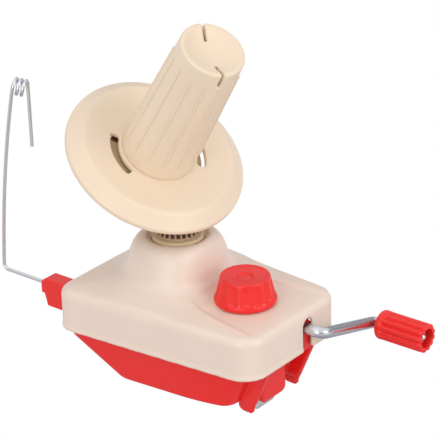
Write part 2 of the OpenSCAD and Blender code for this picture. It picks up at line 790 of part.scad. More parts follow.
module rotor_head() color(CREAM) {
  step = 0.8;
  hub_foot = on_spindle(rotor_z + step);
  hub_top = on_spindle(rotor_z + rotor_hub_h - step);
  arm_foot = rotor_foot_down - step;
  arm_top = rotor_top_down + step;
  // Where the underside of the arm turns level, just above the fixed gear
  level_x = (cross_z - rotor_z - step - arm_foot * cos(cone_tilt)) / sin(cone_tilt);
  difference() {
    union() {
      translate([0, 0, rotor_z]) cylinder(h = rotor_hub_h, r = rotor_hub_r);
      on_axle() {
        translate([0, 0, -rotor_foot_down]) cylinder(h = rotor_foot_down - rotor_top_down, r = rotor_boss_r);
        // Round guard that keeps yarn out of the gears
        translate([0, 0, -rotor_top_down - guard_t]) cylinder(h = guard_t, r = guard_r);
        translate([0, rotor_arm_w / 2, 0]) rotate([90, 0, 0]) linear_extrude(rotor_arm_w) polygon([
          [0, -arm_foot],
          [level_x, -arm_foot],
          hub_foot,
          hub_top,
          [hub_top[0] - 6, -arm_top],
          [0, -arm_top]
        ]);
      }
    }
    translate([0, 0, rotor_z - 1]) cylinder(h = rotor_hub_h + 2, r = spindle_r);
    on_axle() translate([0, 0, -100]) cylinder(h = 200, r = axle_r + axle_bush_wall);
  }
}

module axle_bush() color(BRASS)
  on_axle() translate([0, 0, -rotor_foot_down])
    ring(rotor_foot_down - rotor_top_down, axle_r + axle_bush_wall, axle_r + run_fit);

module cone_axle() color(STEEL)
  on_axle() translate([0, 0, -axle_end_down]) cylinder(h = axle_end_down + axle_top_up, r = axle_r);

module hub_gear() color(NYLON)
  on_axle() translate([0, 0, -hub_gear_down]) difference() {
    rotate(180 / hub_teeth) linear_extrude(hub_gear_h, scale = head_keep)
      polygon(gear_points(hub_teeth, 2 * hub_gear_r / hub_teeth, 0.75, 1));
    translate([0, 0, -1]) cylinder(h = hub_gear_h + 2, r = axle_r);
  }

module axle_ring() color(STEEL)
  on_axle() translate([0, 0, -hub_gear_down - push_ring_t]) ring(push_ring_t, axle_r + 2.2, axle_r);

module flange_disc() color(CREAM)
  on_axle() difference() {
    rotate_extrude() polygon([
      [cone_hub_r, -disc_down - disc_t],
      [dish_r, -disc_down - disc_t],
      [ridge_r - 0.8, -disc_down + ridge_up - cone_t],
      [disc_r - cone_t, -disc_down - rim_down - 1.2],
      [disc_r - 0.8, -disc_down - rim_down - 1.2],
      [disc_r, -disc_down - rim_down - 0.5],
      [disc_r, -disc_down - rim_down + 0.5],
      [ridge_r + 1.2, -disc_down + ridge_up - 0.3],
      [ridge_r, -disc_down + ridge_up],
      [ridge_r - 1.4, -disc_down + ridge_up - 0.2],
      [dish_r, -disc_down],
      [cone_hub_r, -disc_down]
    ]);
    for (a = [0, 180]) rotate(arc_slot_turn + a - arc_slot_span / 2) rotate_extrude(angle = arc_slot_span)
      translate([arc_slot_in, -disc_down - disc_t - 5]) square([arc_slot_out - arc_slot_in, disc_t + 10]);
    for (a = [30:120:270]) rotate(a) translate([flange_screw_at, 0, -disc_down - disc_t - 1]) {
      cylinder(h = disc_t + 2, r = flange_screw_r);
      cylinder(h = flange_head_h + 1, r = flange_head_r + 0.2);
    }
  }

module flange_screws() color(STEEL)
  on_axle() for (a = [30:120:270]) rotate(a) translate([flange_screw_at, 0, -disc_down - disc_t])
    cross_screw(flange_head_r, flange_head_h, flange_screw_r, disc_t + 7);

module winding_cone() color(CREAM) {
  slope = (cone_foot_r - cone_top_r) / cone_len;
  lean = atan(slope);
  rib_from = 0.13 * cone_len;
  rib_to = 0.88 * cone_len;
  top_in = cone_len - cone_dish - cone_t;
  on_axle() translate([0, 0, -disc_down]) difference() {
    union() {
      difference() {
        cylinder(h = cone_len, r1 = cone_foot_r, r2 = cone_top_r);
        translate([0, 0, cone_t])
          cylinder(h = top_in - cone_t, r1 = cone_foot_r - cone_t, r2 = cone_top_r - cone_t);
      }
      translate([0, 0, -disc_t]) cylinder(h = disc_t + merge, r = cone_hub_r);
      cylinder(h = disc_down + axle_top_up + 2, r = cone_hub_r);
      for (a = [30:120:270]) rotate(a) translate([flange_screw_at, 0, 0]) cylinder(h = 10, r = flange_screw_r + 2);
      for (i = [0:rib_count - 1]) rotate(360 / rib_count * (i + rib_phase))
        translate([cone_foot_r - slope * rib_from, 0, rib_from]) rotate([0, -lean, 0])
          translate([-1, -rib_w / 2, 0]) cube([1 + rib_up, rib_w, rib_to - rib_from]);
    }
    translate([0, 0, -disc_t - 1]) cylinder(h = disc_t + 1 + disc_down + axle_top_up, r = axle_r);
    for (a = [30:120:270]) rotate(a) translate([flange_screw_at, 0, -1]) cylinder(h = 8.2, r = flange_screw_r);
    // Dished top and the yarn slots in its rim
    dish_sphere_r = (cone_top_r * cone_top_r / 1.3 + cone_dish * cone_dish) / (2 * cone_dish);
    translate([0, 0, cone_len - cone_dish + dish_sphere_r]) rotate([90, 0, 0]) sphere(r = dish_sphere_r, $fn = 96);
    rotate(slot_turn) for (a = [0, 180]) rotate(a)
      translate([slot_from_r, -slot_w / 2, cone_len - slot_depth]) cube([cone_foot_r, slot_w, slot_depth + 1]);
  }
}

// Table clamp

module knob_washer() color(STEEL)
  translate([knob_x, 0, pocket_z]) ring(knob_lift - 0.1, washer_r, screw_r + run_fit);

module clamp_knob() color(RED) {
  flutes = 14;
  foot_h = 3;
  translate([knob_x, 0, pocket_z + knob_lift]) difference() {
    union() {
      cylinder(h = foot_h, r = knob_r);
      translate([0, 0, foot_h - merge]) cylinder(h = knob_h - foot_h + merge, r1 = knob_r - 1, r2 = knob_top_r);
    }
    for (i = [0:flutes - 1]) rotate(360 / flutes * i)
      translate([knob_r + 0.9, 0, foot_h]) rotate([0, -atan((knob_r - 1 - knob_top_r) / (knob_h - foot_h)), 0])
        cylinder(h = knob_h + 5, r = 2);
    translate([0, 0, knob_h - 0.8]) cylinder(h = 2, r = knob_top_r - 3);
    translate([0, 0, -1]) cylinder(h = knob_h - 2, r = screw_r);
  }
}

module clamp_screw() color(STEEL)
  translate([knob_x, 0, clamp_screw_foot])
    cylinder(h = pocket_z + knob_lift + knob_h - 3 - clamp_screw_foot, r = screw_r);

module clamp_ring() color(STEEL)
  translate([knob_x, 0, pocket_z - clamp_boss_h - 0.1 - push_ring_t]) ring(push_ring_t, screw_r + 2, screw_r);

module clamp_bracket() color(STEEL) difference() {
  translate([0, -strip_w / 2, 0]) {
    translate([arm_end_x, 0, arm_z]) cube([strip_x - arm_end_x, strip_w, strip_t]);
    translate([strip_x - strip_t, 0, jaw_z]) cube([strip_t, strip_w, arm_z + strip_t - jaw_z]);
    translate([strip_x - jaw_len, 0, jaw_z]) cube([jaw_len, strip_w, strip_t]);
  }
  translate([knob_x, 0, arm_z - 1]) cylinder(h = strip_t + 2, r = screw_r + 0.3);
}

module clamp_nut() color(STEEL)
  translate([knob_x, 0, arm_z + strip_t]) difference() {
    cylinder(h = nut_h, r = nut_flat / sqrt(3), $fn = 6);
    translate([0, 0, -1]) cylinder(h = nut_h + 2, r = screw_r + run_fit);
  }

module jaw_pad() color(RUBBER)
  translate([strip_x - jaw_len, -strip_w / 2, jaw_z + strip_t]) cube([pad_len, strip_w, pad_t]);

// Yarn guide

module guide_block() color(RED) difference() {
  translate([0, guide_y + block_w / 2, block_z]) rotate([90, 0, 0]) linear_extrude(block_w) polygon([
    [block_end_x + 0.7, 0],
    [-body_rear, 0],
    [-body_rear, block_h],
    [block_end_x, block_h],
    [block_end_x - nose_len, block_h - 2.3],
    [block_end_x - nose_len, block_h - 9.4],
    [block_end_x - 1.3, block_h - 9.4]
  ]);
  translate([0, guide_y, guide_z]) along_x(block_end_x - nose_len - 1, wire_in_x, wire_r + run_fit);
  translate([0, guide_y, guide_screw_z]) along_x(-body_rear - 10, -body_rear + 1, guide_screw_r);
}

module guide_screw() color(STEEL)
  translate([-body_rear + shell_t + 2, guide_y, guide_screw_z]) rotate([0, -90, 0])
    cross_screw(guide_screw_head_r, 2, guide_screw_r, shell_t + 11);

// Path of the eye and the tail, seen from the foot of the upright
eye_rings = 8;
eye_steps = ceil(eye_rings * eye_sweep / 360);
function eye_at(turn) = eye_centre
  + eye_r * (sin(turn) * eye_up - cos(turn) * eye_back) + eye_step * turn / 360 * eye_axis;
eye_path = [for (i = [0:eye_steps]) eye_at(eye_sweep * i / eye_steps)];
tail_dir = [0, 0, -1];
tail_top = eye_at(eye_sweep);
// Upright with a slight bow, from the elbow to the eye
bow_steps = 10;
function bow_at(lean) = elbow_top
  + bow_r * [cos(foot_lean) - cos(lean), 0, sin(lean) - sin(foot_lean)];
bow_path = [for (i = [0:bow_steps - 1]) bow_at(foot_lean + (eye_lean - foot_lean) * i / bow_steps)];
elbow_steps = 5;
function elbow_at(turn) = elbow_r * [1 - sin(turn), 0, 1 - cos(turn)];
elbow_path = [for (i = [0:elbow_steps - 1]) elbow_at(elbow_turn * i / elbow_steps)];
tail_path = [tail_top + 1.5 * tail_dir, tail_top + tail_len * tail_dir];
wire_path = concat([[elbow_r + 1, 0, 0]], elbow_path, bow_path, eye_path, tail_path);

// Least clear distance between turns of the eye
function turn_gaps() = [for (i = [0:len(eye_path) - 1]) for (j = [i + 5:1:len(eye_path) - 1])
  norm(eye_path[i] - eye_path[j]) - 2 * wire_r];
echo(least_gap_of_eye = min(turn_gaps()));

// Tube with six sides along a path
function unit(v) = v / norm(v);
function heading(p, i) = unit(p[min(i + 1, len(p) - 1)] - p[max(i - 1, 0)]);
function across(p, i, last) = let (d = heading(p, i)) unit(last - (last * d) * d);
function frames(p, i, last) = i == len(p) ? [] :
  let (u = across(p, i, last)) concat([u], frames(p, i + 1, u));
module tube(p, r, sides) {
  us = frames(p, 0, [0.3, 1, 0.1]);
  n = len(p);
  rings = [for (i = [0:n - 1]) let (d = heading(p, i), u = us[i], v = cross(d, u))
    each [for (k = [0:sides - 1]) p[i] + r * (cos(360 / sides * k) * u + sin(360 / sides * k) * v)]];
  walls = [for (i = [0:n - 2]) for (k = [0:sides - 1]) let (a = i * sides + k, b = i * sides + (k + 1) % sides)
    each [[a, a + sides, b], [b, a + sides, b + sides]]];
  last = (n - 1) * sides;
  caps = [for (k = [1:sides - 2]) each [[0, k, k + 1], [last, last + k + 1, last + k]]];
  polyhedron(rings, concat(walls, caps));
}

module guide_wire() color(STEEL) {
  translate([0, guide_y, guide_z]) along_x(elbow_x + elbow_r, wire_in_x - 0.2, wire_r);
  translate([elbow_x, guide_y, guide_z]) tube(wire_path, 1.06 * wire_r, 6);
}

upper_shell();
lower_shell();
housing_screws();
fixed_gear();
spindle_bush();
crank_bushes();
idler_pin();
idler_ring();
guide_block();
guide_screw();
knob_washer();
crank_rod();
crank_gear();
crank_ring();
grip_nut();
crank_grip();
idler_gear();
spindle_shaft();
spindle_pinion();
spindle_ring();
rotor_head();
axle_bush();
winding_cone();
flange_disc();
flange_screws();
cone_axle();
hub_gear();
axle_ring();
clamp_knob();
clamp_screw();
clamp_ring();
clamp_bracket();
clamp_nut();
jaw_pad();
guide_wire();
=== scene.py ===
import math

import bpy
import numpy as np
from mathutils import Matrix, Vector


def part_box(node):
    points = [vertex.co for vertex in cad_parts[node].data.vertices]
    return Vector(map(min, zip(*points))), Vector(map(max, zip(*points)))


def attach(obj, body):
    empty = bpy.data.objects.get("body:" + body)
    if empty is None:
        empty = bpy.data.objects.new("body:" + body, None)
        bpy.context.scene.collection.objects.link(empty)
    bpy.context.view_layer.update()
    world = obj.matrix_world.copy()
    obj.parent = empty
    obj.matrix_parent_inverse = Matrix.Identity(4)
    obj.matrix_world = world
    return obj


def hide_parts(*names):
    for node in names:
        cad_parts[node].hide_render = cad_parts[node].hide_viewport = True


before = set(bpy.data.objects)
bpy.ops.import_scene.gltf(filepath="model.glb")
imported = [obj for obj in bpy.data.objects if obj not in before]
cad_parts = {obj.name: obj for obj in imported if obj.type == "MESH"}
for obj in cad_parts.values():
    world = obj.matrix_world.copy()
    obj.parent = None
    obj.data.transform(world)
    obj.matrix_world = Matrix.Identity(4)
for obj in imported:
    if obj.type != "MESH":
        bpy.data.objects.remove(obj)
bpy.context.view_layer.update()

# Camera
# A long lens looks down on the near front corner, so the crank points to the right
# and the wire of the yarn guide stands at the left edge.
CAMERA_PLACE = (0.6319, -0.7387, 0.5241)
turn, lift, roll = (math.radians(a) for a in (39.201, 24.515, -1.656))
level = Vector((math.cos(turn), math.sin(turn), 0))
back = Vector((math.sin(turn) * math.cos(lift), -math.cos(turn) * math.cos(lift), math.sin(lift)))
rise = back.cross(level)
right = level * math.cos(roll) + rise * math.sin(roll)
up = rise * math.cos(roll) - level * math.sin(roll)
lens = bpy.data.cameras.new("camera")
lens.sensor_width = 36
lens.lens = 163.64
lens.clip_start = 0.05
lens.clip_end = 20
camera = bpy.data.objects.new("camera", lens)
facing = Matrix((right, up, back)).transposed().to_4x4()
camera.matrix_world = Matrix.Translation(CAMERA_PLACE) @ facing
bpy.context.scene.collection.objects.link(camera)
bpy.context.scene.camera = camera

# Upper casing
# One cream moulding: straight skirt, soft hipped roof, flared neck with a collar and a scooped
# pocket for the knob. Four screws from below hold it on the red hull.
CREAM = (0.80, 0.655, 0.555)
REAR_X, FRONT_X, REAR_HALF = -49.1, 78.7, 49.2
SIDE_TAPER, SIDE_SLANT, CORNER_R = 0.0798, 0.9968, 12.4
SKIRT_Z, ROOF_Z, COLLAR_Z = 23.7, 46.6, 73.9
SKIRT_LIP_OUT, SKIRT_LIP_Z = 0.45, 25.8
ROOF_RISE, NECK_FOOT_R = 3.6, 34.5
NECK_HEIGHTS = [48.8, 50.9, 53.2, 56.7, 61.2, 65.7, 69.1, 71.9, 73.9]
NECK_RADII = [37.5, 34, 31.2, 29, 27.4, 26, 24.4, 22.5, 20.3]
NECK = np.polyfit(NECK_HEIGHTS, NECK_RADII, 5)
POCKET_X, POCKET_HALF, POCKET_FLARE, SCOOP_X = 21.8, 23, 0.1757, 22.4
DISH_R, DISH_Z, WELL_R, WELL_Z = 16, 72.2, 14.1, 67.9
WALL, CEILING_Z = 2.2, 44.4
NECK_HOLLOW_R, NECK_HOLLOW_LOW, NECK_HOLLOW_TOP = 12.5, 40, 64.9
KNOB_X, SCREW_BOSS_R, SCREW_HOLE_R, BOSS_Z = 45.3, 6.2, 3.3, 40
JOINS = ((-36.1, 36.16), (49.5, 29.33))
POST_R, POST_HOLE_R, POST_HOLE_Z = 4.6, 1.5, 36.6
SPINDLE_HOLE_R, SPINDLE_HOLE_Z = 6.5, 60
CRANK_Y, ARCH_X, ARCH_Z, ARCH_R = 10.2, 73, 37.85, 4.05


def soft_min(a, b, width):
    """The lesser of two fields, blended where they come within width of each other."""
    near = np.maximum(width - np.abs(a - b), 0) / width
    return np.minimum(a, b) - near * near * width / 4


def soft_max(a, b, width):
    return -soft_min(-a, -b, width)


def mould(name, field, low, high, cell, place=None):
    """Mesh of the skin where field(x, y, z) is zero, negative inside, all in millimetres."""
    steps = [np.arange(a - 1.7 * cell, b + 2.5 * cell, cell) for a, b in zip(low, high)]
    grid = np.meshgrid(*steps, indexing="ij")
    value = field(*grid)
    inside = value < 0
    size = value.shape
    # One point in each cell that the skin passes, at the mean of the crossings on its edges
    total = np.zeros((size[0] - 1, size[1] - 1, size[2] - 1, 3))
    count = np.zeros(total.shape[:3])
    crossings = []
    for d in range(3):
        lower = tuple(slice(0, -1) if e == d else slice(None) for e in range(3))
        upper = tuple(slice(1, None) if e == d else slice(None) for e in range(3))
        a, b = value[lower], value[upper]
        cross = inside[lower] != inside[upper]
        crossings.append(cross)
        point = np.stack([g[lower] for g in grid], -1)
        point[..., d] += np.where(cross, a / np.where(cross, a - b, 1), 0) * cell
        point *= cross[..., None]
        one, two = [e for e in range(3) if e != d]
        for i in (0, 1):
            for j in (0, 1):
                part = [slice(None)] * 3
                part[one] = slice(i, size[one] - 1 + i)
                part[two] = slice(j, size[two] - 1 + j)
                total += point[tuple(part)]
                count += cross[tuple(part)]
    used = count > 0
    points = total[used] / count[used][:, None]
    index = np.full(count.shape, -1)
    index[used] = np.arange(len(points))
    # One face round each crossed edge, turned outwards
    quads = []
    for d in range(3):
        one, two = (d + 1) % 3, (d + 2) % 3
        cross = crossings[d].copy()
        for e in (one, two):
            ends = [slice(None)] * 3
            ends[e] = [0, size[e] - 1]
            cross[tuple(ends)] = False
        base = np.argwhere(cross)
        outward = inside[tuple(base.T)]
        step_one, step_two = np.eye(3, dtype=int)[one], np.eye(3, dtype=int)[two]
        ring = [base - step_one - step_two, base - step_two, base, base - step_one]
        quad = np.stack([index[tuple(c.T)] for c in ring], -1)
        quads.append(np.where(outward[:, None], quad, quad[:, ::-1]))
    quads = np.concatenate(quads)
    # The points are drawn onto the skin along its slope, and stay near their cells
    h = 0.06 * cell
    start = points.copy()
    for _ in range(5):
        x, y, z = points.T
        here = field(x, y, z)
        slope = np.stack([field(x + h, y, z) - field(x - h, y, z),
                          field(x, y + h, z) - field(x, y - h, z),
                          field(x, y, z + h) - field(x, y, z - h)], -1) / (2 * h)
        move = -here[:, None] * slope / np.maximum((slope * slope).sum(1), 0.2)[:, None]
        far = np.linalg.norm(move, axis=1, keepdims=True)
        points = points + move * np.minimum(1, 0.4 * cell / np.maximum(far, 1e-9))
        drift = points - start
        far = np.linalg.norm(drift, axis=1, keepdims=True)
        points = start + drift * np.minimum(1, 0.9 * cell / np.maximum(far, 1e-9))
    mesh = bpy.data.meshes.new(name)
    mesh.from_pydata((points * 0.001).tolist(), [], quads.tolist())
    if place is not None:
        mesh.transform(place)
    mesh.shade_smooth()
    piece = bpy.data.objects.new(name, mesh)
    bpy.context.scene.collection.objects.link(piece)
    return piece


def link(tree, source, target):
    tree.links.new(source, target)


def moulded_finish():
    """Node group: faint clouds in the colour, orange peel and light scuffs of moulded plastic."""
    group = bpy.data.node_groups.new("moulded finish", "ShaderNodeTree")
    for name, kind, at in (("Colour", "NodeSocketColor", "INPUT"),
                           ("Gloss", "NodeSocketFloat", "INPUT"),
                           ("Peel", "NodeSocketFloat", "INPUT"),
                           ("Colour", "NodeSocketColor", "OUTPUT"),
                           ("Roughness", "NodeSocketFloat", "OUTPUT"),
                           ("Normal", "NodeSocketVector", "OUTPUT")):
        group.interface.new_socket(name, in_out=at, socket_type=kind)
    add = group.nodes.new
    entry, leave = add("NodeGroupInput"), add("NodeGroupOutput")
    where = add("ShaderNodeTexCoord")
    cloud, peel, scuff = (add("ShaderNodeTexNoise") for _ in range(3))
    for noise, scale, detail in ((cloud, 38, 3), (peel, 1100, 2), (scuff, 240, 5)):
        noise.inputs["Scale"].default_value = scale
        noise.inputs["Detail"].default_value = detail
    stretch = add("ShaderNodeMapping")
    stretch.inputs["Rotation"].default_value = (0.4, 0.3, 0.7)
    stretch.inputs["Scale"].default_value = (0.06, 1, 1)
    link(group, where.outputs["Object"], cloud.inputs["Vector"])
    link(group, where.outputs["Object"], peel.inputs["Vector"])
    link(group, where.outputs["Object"], stretch.inputs["Vector"])
    link(group, stretch.outputs["Vector"], scuff.inputs["Vector"])
    shade = add("ShaderNodeMapRange")
    shade.inputs["To Min"].default_value = 0.965
    shade.inputs["To Max"].default_value = 1.03
    link(group, cloud.outputs["Fac"], shade.inputs["Value"])
    tint = add("ShaderNodeVectorMath")
    tint.operation = "SCALE"
    link(group, entry.outputs["Colour"], tint.inputs[0])
    link(group, shade.outputs["Result"], tint.inputs["Scale"])
    link(group, tint.outputs["Vector"], leave.inputs["Colour"])
    worn = add("ShaderNodeMapRange")
    worn.inputs["From Min"].default_value = 0.58
    worn.inputs["From Max"].default_value = 0.75
    worn.inputs["To Max"].default_value = 0.16
    link(group, scuff.outputs["Fac"], worn.inputs["Value"])
    rough = add("ShaderNodeMath")
    link(group, entry.outputs["Gloss"], rough.inputs[0])
    link(group, worn.outputs["Result"], rough.inputs[1])
    link(group, rough.outputs["Value"], leave.inputs["Roughness"])
    bump = add("ShaderNodeBump")
    bump.inputs["Distance"].default_value = 0.00004
    link(group, entry.outputs["Peel"], bump.inputs["Strength"])
    link(group, peel.outputs["Fac"], bump.inputs["Height"])
    link(group, bump.outputs["Normal"], leave.inputs["Normal"])
    return group


finish = moulded_finish()


def plastic(name, colour, gloss, peel):
    """Plastic of one colour with the moulded finish."""
    material = bpy.data.materials.new(name)
    material.use_nodes = True
    tree = material.node_tree
    shader = tree.nodes["Principled BSDF"]
    look = tree.nodes.new("ShaderNodeGroup")
    look.node_tree = finish
    look.inputs["Colour"].default_value = (*colour, 1)
    look.inputs["Gloss"].default_value = gloss
    look.inputs["Peel"].default_value = peel
    shader.inputs["IOR"].default_value = 1.5
    link(tree, look.outputs["Colour"], shader.inputs["Base Color"])
    link(tree, look.outputs["Roughness"], shader.inputs["Roughness"])
    link(tree, look.outputs["Normal"], shader.inputs["Normal"])
    return material


def wear(piece, material, body, slot, *nodes):
    """Gives a finished piece its material, its body and its place among the parts."""
    if not piece.data.materials:
        piece.data.materials.append(material)
    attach(piece, body)
    if nodes:
        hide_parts(*nodes)


def casing_plan(x, y):
    """Distance from the casing's plan outline, narrower to the front, with round corners."""
    side = (np.abs(y) - REAR_HALF + SIDE_TAPER * (x - REAR_X)) * SIDE_SLANT + CORNER_R
    ends = np.maximum(REAR_X - x, x - FRONT_X) + CORNER_R
    corner = np.hypot(np.maximum(side, 0), np.maximum(ends, 0))
    return np.minimum(np.maximum(side, ends), 0) + corner - CORNER_R


def upper_field(x, y, z):
    edge = casing_plan(x, y)
    r = np.hypot(x, y)
    # Skirt with a fine lip, and a roof that rises from it to the foot of the neck
    run = np.maximum(-edge, 0)
    roof = ROOF_Z + ROOF_RISE * run / (run + np.maximum(r - NECK_FOOT_R, 0) + 0.001)
    lip = SKIRT_LIP_OUT * np.clip((SKIRT_LIP_Z - z) / 0.4, 0, 1)
    box = soft_max(edge - lip, z - roof, 4.5)
    # Knob pocket, cut crisply into the roof and softly into the neck
    half = POCKET_HALF + POCKET_FLARE * (x - POCKET_X)
    pocket = soft_max(POCKET_X - x, ROOF_Z - z, 9)
    pocket = soft_max(pocket, (np.abs(y) - half) * 0.985, 4)
    box = soft_max(box, -pocket, 1.1)
    flank = (r - np.polyval(NECK, np.clip(z, 48, 74.5))) * 0.86
    neck = soft_max(flank, z - COLLAR_Z, 3)
    scoop = soft_max(SCOOP_X - x, ROOF_Z - z, 14)
    neck = soft_max(neck, -scoop, 8)
    body = soft_max(soft_min(box, neck, 7), SKIRT_Z - z, 0.5)
    # Collar: a shallow dish round the well of the fixed gear
    dish = soft_max(r - DISH_R, DISH_Z - z, 1)
    well = np.maximum(r - WELL_R, WELL_Z - z)
    body = soft_max(body, -np.minimum(dish, well), 1.6)
    # Hollow inside, with the boss of the clamp screw and the posts of the joining screws
    hollow = soft_max(edge + WALL, z - CEILING_Z, 1)
    neck_hollow = np.maximum(np.maximum(r - NECK_HOLLOW_R, z - NECK_HOLLOW_TOP),
                             NECK_HOLLOW_LOW - z)
    body = np.maximum(body, -np.minimum(hollow, neck_hollow))
    screw = np.hypot(x - KNOB_X, y)
    boss = np.maximum(np.maximum(screw - SCREW_BOSS_R, BOSS_Z - z), z - 46)
    body = np.minimum(body, boss)
    for px, py in JOINS:
        post = np.hypot(x - px, np.abs(y) - py)
        body = np.minimum(body, np.maximum(np.maximum(post - POST_R, SKIRT_Z - z), z - 45.5))
        body = np.maximum(body, np.minimum(POST_HOLE_R - post, POST_HOLE_Z - z))
    # Holes for the clamp screw and the spindle, and the arch for the crank
    body = np.maximum(body, SCREW_HOLE_R - screw)
    body = np.maximum(body, np.minimum(SPINDLE_HOLE_R - r, z - SPINDLE_HOLE_Z))
    across = np.abs(y - CRANK_Y)
    arch = np.where(z > ARCH_Z, np.hypot(y - CRANK_Y, z - ARCH_Z), across) - ARCH_R
    return soft_max(body, -np.maximum(arch, ARCH_X - x), 1)


cream = plastic("cream plastic", CREAM, 0.34, 0.25)
upper_casing = mould("upper_casing", upper_field, (REAR_X, -REAR_HALF, SKIRT_Z),
                     (FRONT_X, REAR_HALF, COLLAR_Z), 0.95)
wear(upper_casing, cream, "housing", "cream_plastic", "upper_shell")

# Hull
# One red moulding under the skirt: drafted tub with sloping ends, two slanted legs that bear on
# the table edge, the guide of the clamp strip and the stands of the crank shaft.
RED = (0.83, 0.016, 0.012)
HULL_INSET, HULL_DRAFT, HULL_TOP, HULL_TALL = 2.6, 4, 24.7, 25.7
NOSE_X, NOSE_LEAN, NOSE_SLANT, NOSE_R, NOSE_HALF = 57.5, 0.4494, 0.912, 9, 24.5
CHEEK_SIN, CHEEK_COS, CHEEK_TAN = 0.342, 0.94, 0.364
TAIL_X, TAIL_LEAN, TAIL_SLANT = -12, 1.4557, 0.566
LEDGE_Z, LEDGE_HALF = 22.6, 1.1
CRANK_Z, STAND_R, STANDS = 35.7, 5.6, ((32.4, 38.4), (67.9, 75.9))
SOCKET_R, SOCKET_TOP, SOCKET_HOLE_R = 8.4, 9, 5.4
IDLER_X, IDLER_POST_R, IDLER_POST_TOP, IDLER_HOLE_R = 16.62, 5.5, 13.7, 2
LEG_SIDE = [(55.3, 0.5), (55.3, -2.1), (59, -5.8), (62.9, -6), (65, -3.2), (75.8, 21.7),
            (75.8, 23.7), (66.5, 23.7)]
LEG_TOES = ((59, -2.1, 3.7), (62.7, -3.6, 2.4))
LEG_YS, LEG_HALF, TOE_STEP, TOE_Z = (-19.9, 18.9), 1.3, 0.3, -0.6
GUIDE_LOW, GUIDE_HIGH = (52.2, -10.4, 0.2), (63.1, 10.4, 20.5)
LIP_REAR, LIP_FRONT, LIP_HALF, LIP_LOW, LIP_R = 54.7, 63.3, 7.1, -2, 3.5
STRIP_ROOM = (((55.7, -6.6, -9), (58.8, 6.6, 40)), ((50, -6.6, -9), (57, 6.6, 0)),
              ((38.7, -6.6, 2.2), (58.8, 6.6, 40)))
ROD_HOLE_R, BUSH_HOLE_R = 3.55, 4.6
RECESS_R, REAR_RECESS_Z, FRONT_RECESS_Z, RECESS_RIM = 2.9, 19.2, 6.2, 2.6


def outline(points, u, v):
    """Signed distance in a plane from a closed outline, negative inside."""
    far = np.full(np.shape(u), 1e9)
    inside = np.zeros(np.shape(u), bool)
    for (au, av), (bu, bv) in zip(points, points[1:] + points[:1]):
        eu, ev = bu - au, bv - av
        t = np.clip(((u - au) * eu + (v - av) * ev) / (eu * eu + ev * ev), 0, 1)
        far = np.minimum(far, np.hypot(u - au - t * eu, v - av - t * ev))
        if ev:
            inside ^= ((av > v) != (bv > v)) & (u < eu * (v - av) / ev + au)
    return np.where(inside, -far, far)


def slab(x, y, z, low, high):
    """Field of a box between two corners, negative inside."""
    return np.maximum.reduce([low[0] - x, x - high[0], low[1] - y, y - high[1],
                              low[2] - z, z - high[2]])


def drafted(x, y, z):
    """Side wall of the hull, which draws in downwards from the casing's outline."""
    return casing_plan(x, y) + HULL_INSET + HULL_DRAFT * (HULL_TOP - z) / HULL_TALL


def tub(x, y, z, inset):
    """The tub's outer skin, or one that lies inset further in."""
    ahead = (x - NOSE_X - NOSE_LEAN * z) * NOSE_SLANT + NOSE_R
    aside = np.abs(y) - NOSE_HALF
    cheek = np.maximum(ahead - NOSE_R, CHEEK_SIN * ahead + CHEEK_COS * aside - NOSE_R)
    in_corner = (aside > 0) & (ahead > CHEEK_TAN * aside)
    nose = np.where(in_corner, np.hypot(ahead, aside) - NOSE_R, cheek)
    tail = (TAIL_X - TAIL_LEAN * z - x) * TAIL_SLANT
    skin = soft_max(drafted(x, y, z), np.maximum(tail, nose), 4)
    return soft_max(skin + inset, inset - z, 1)


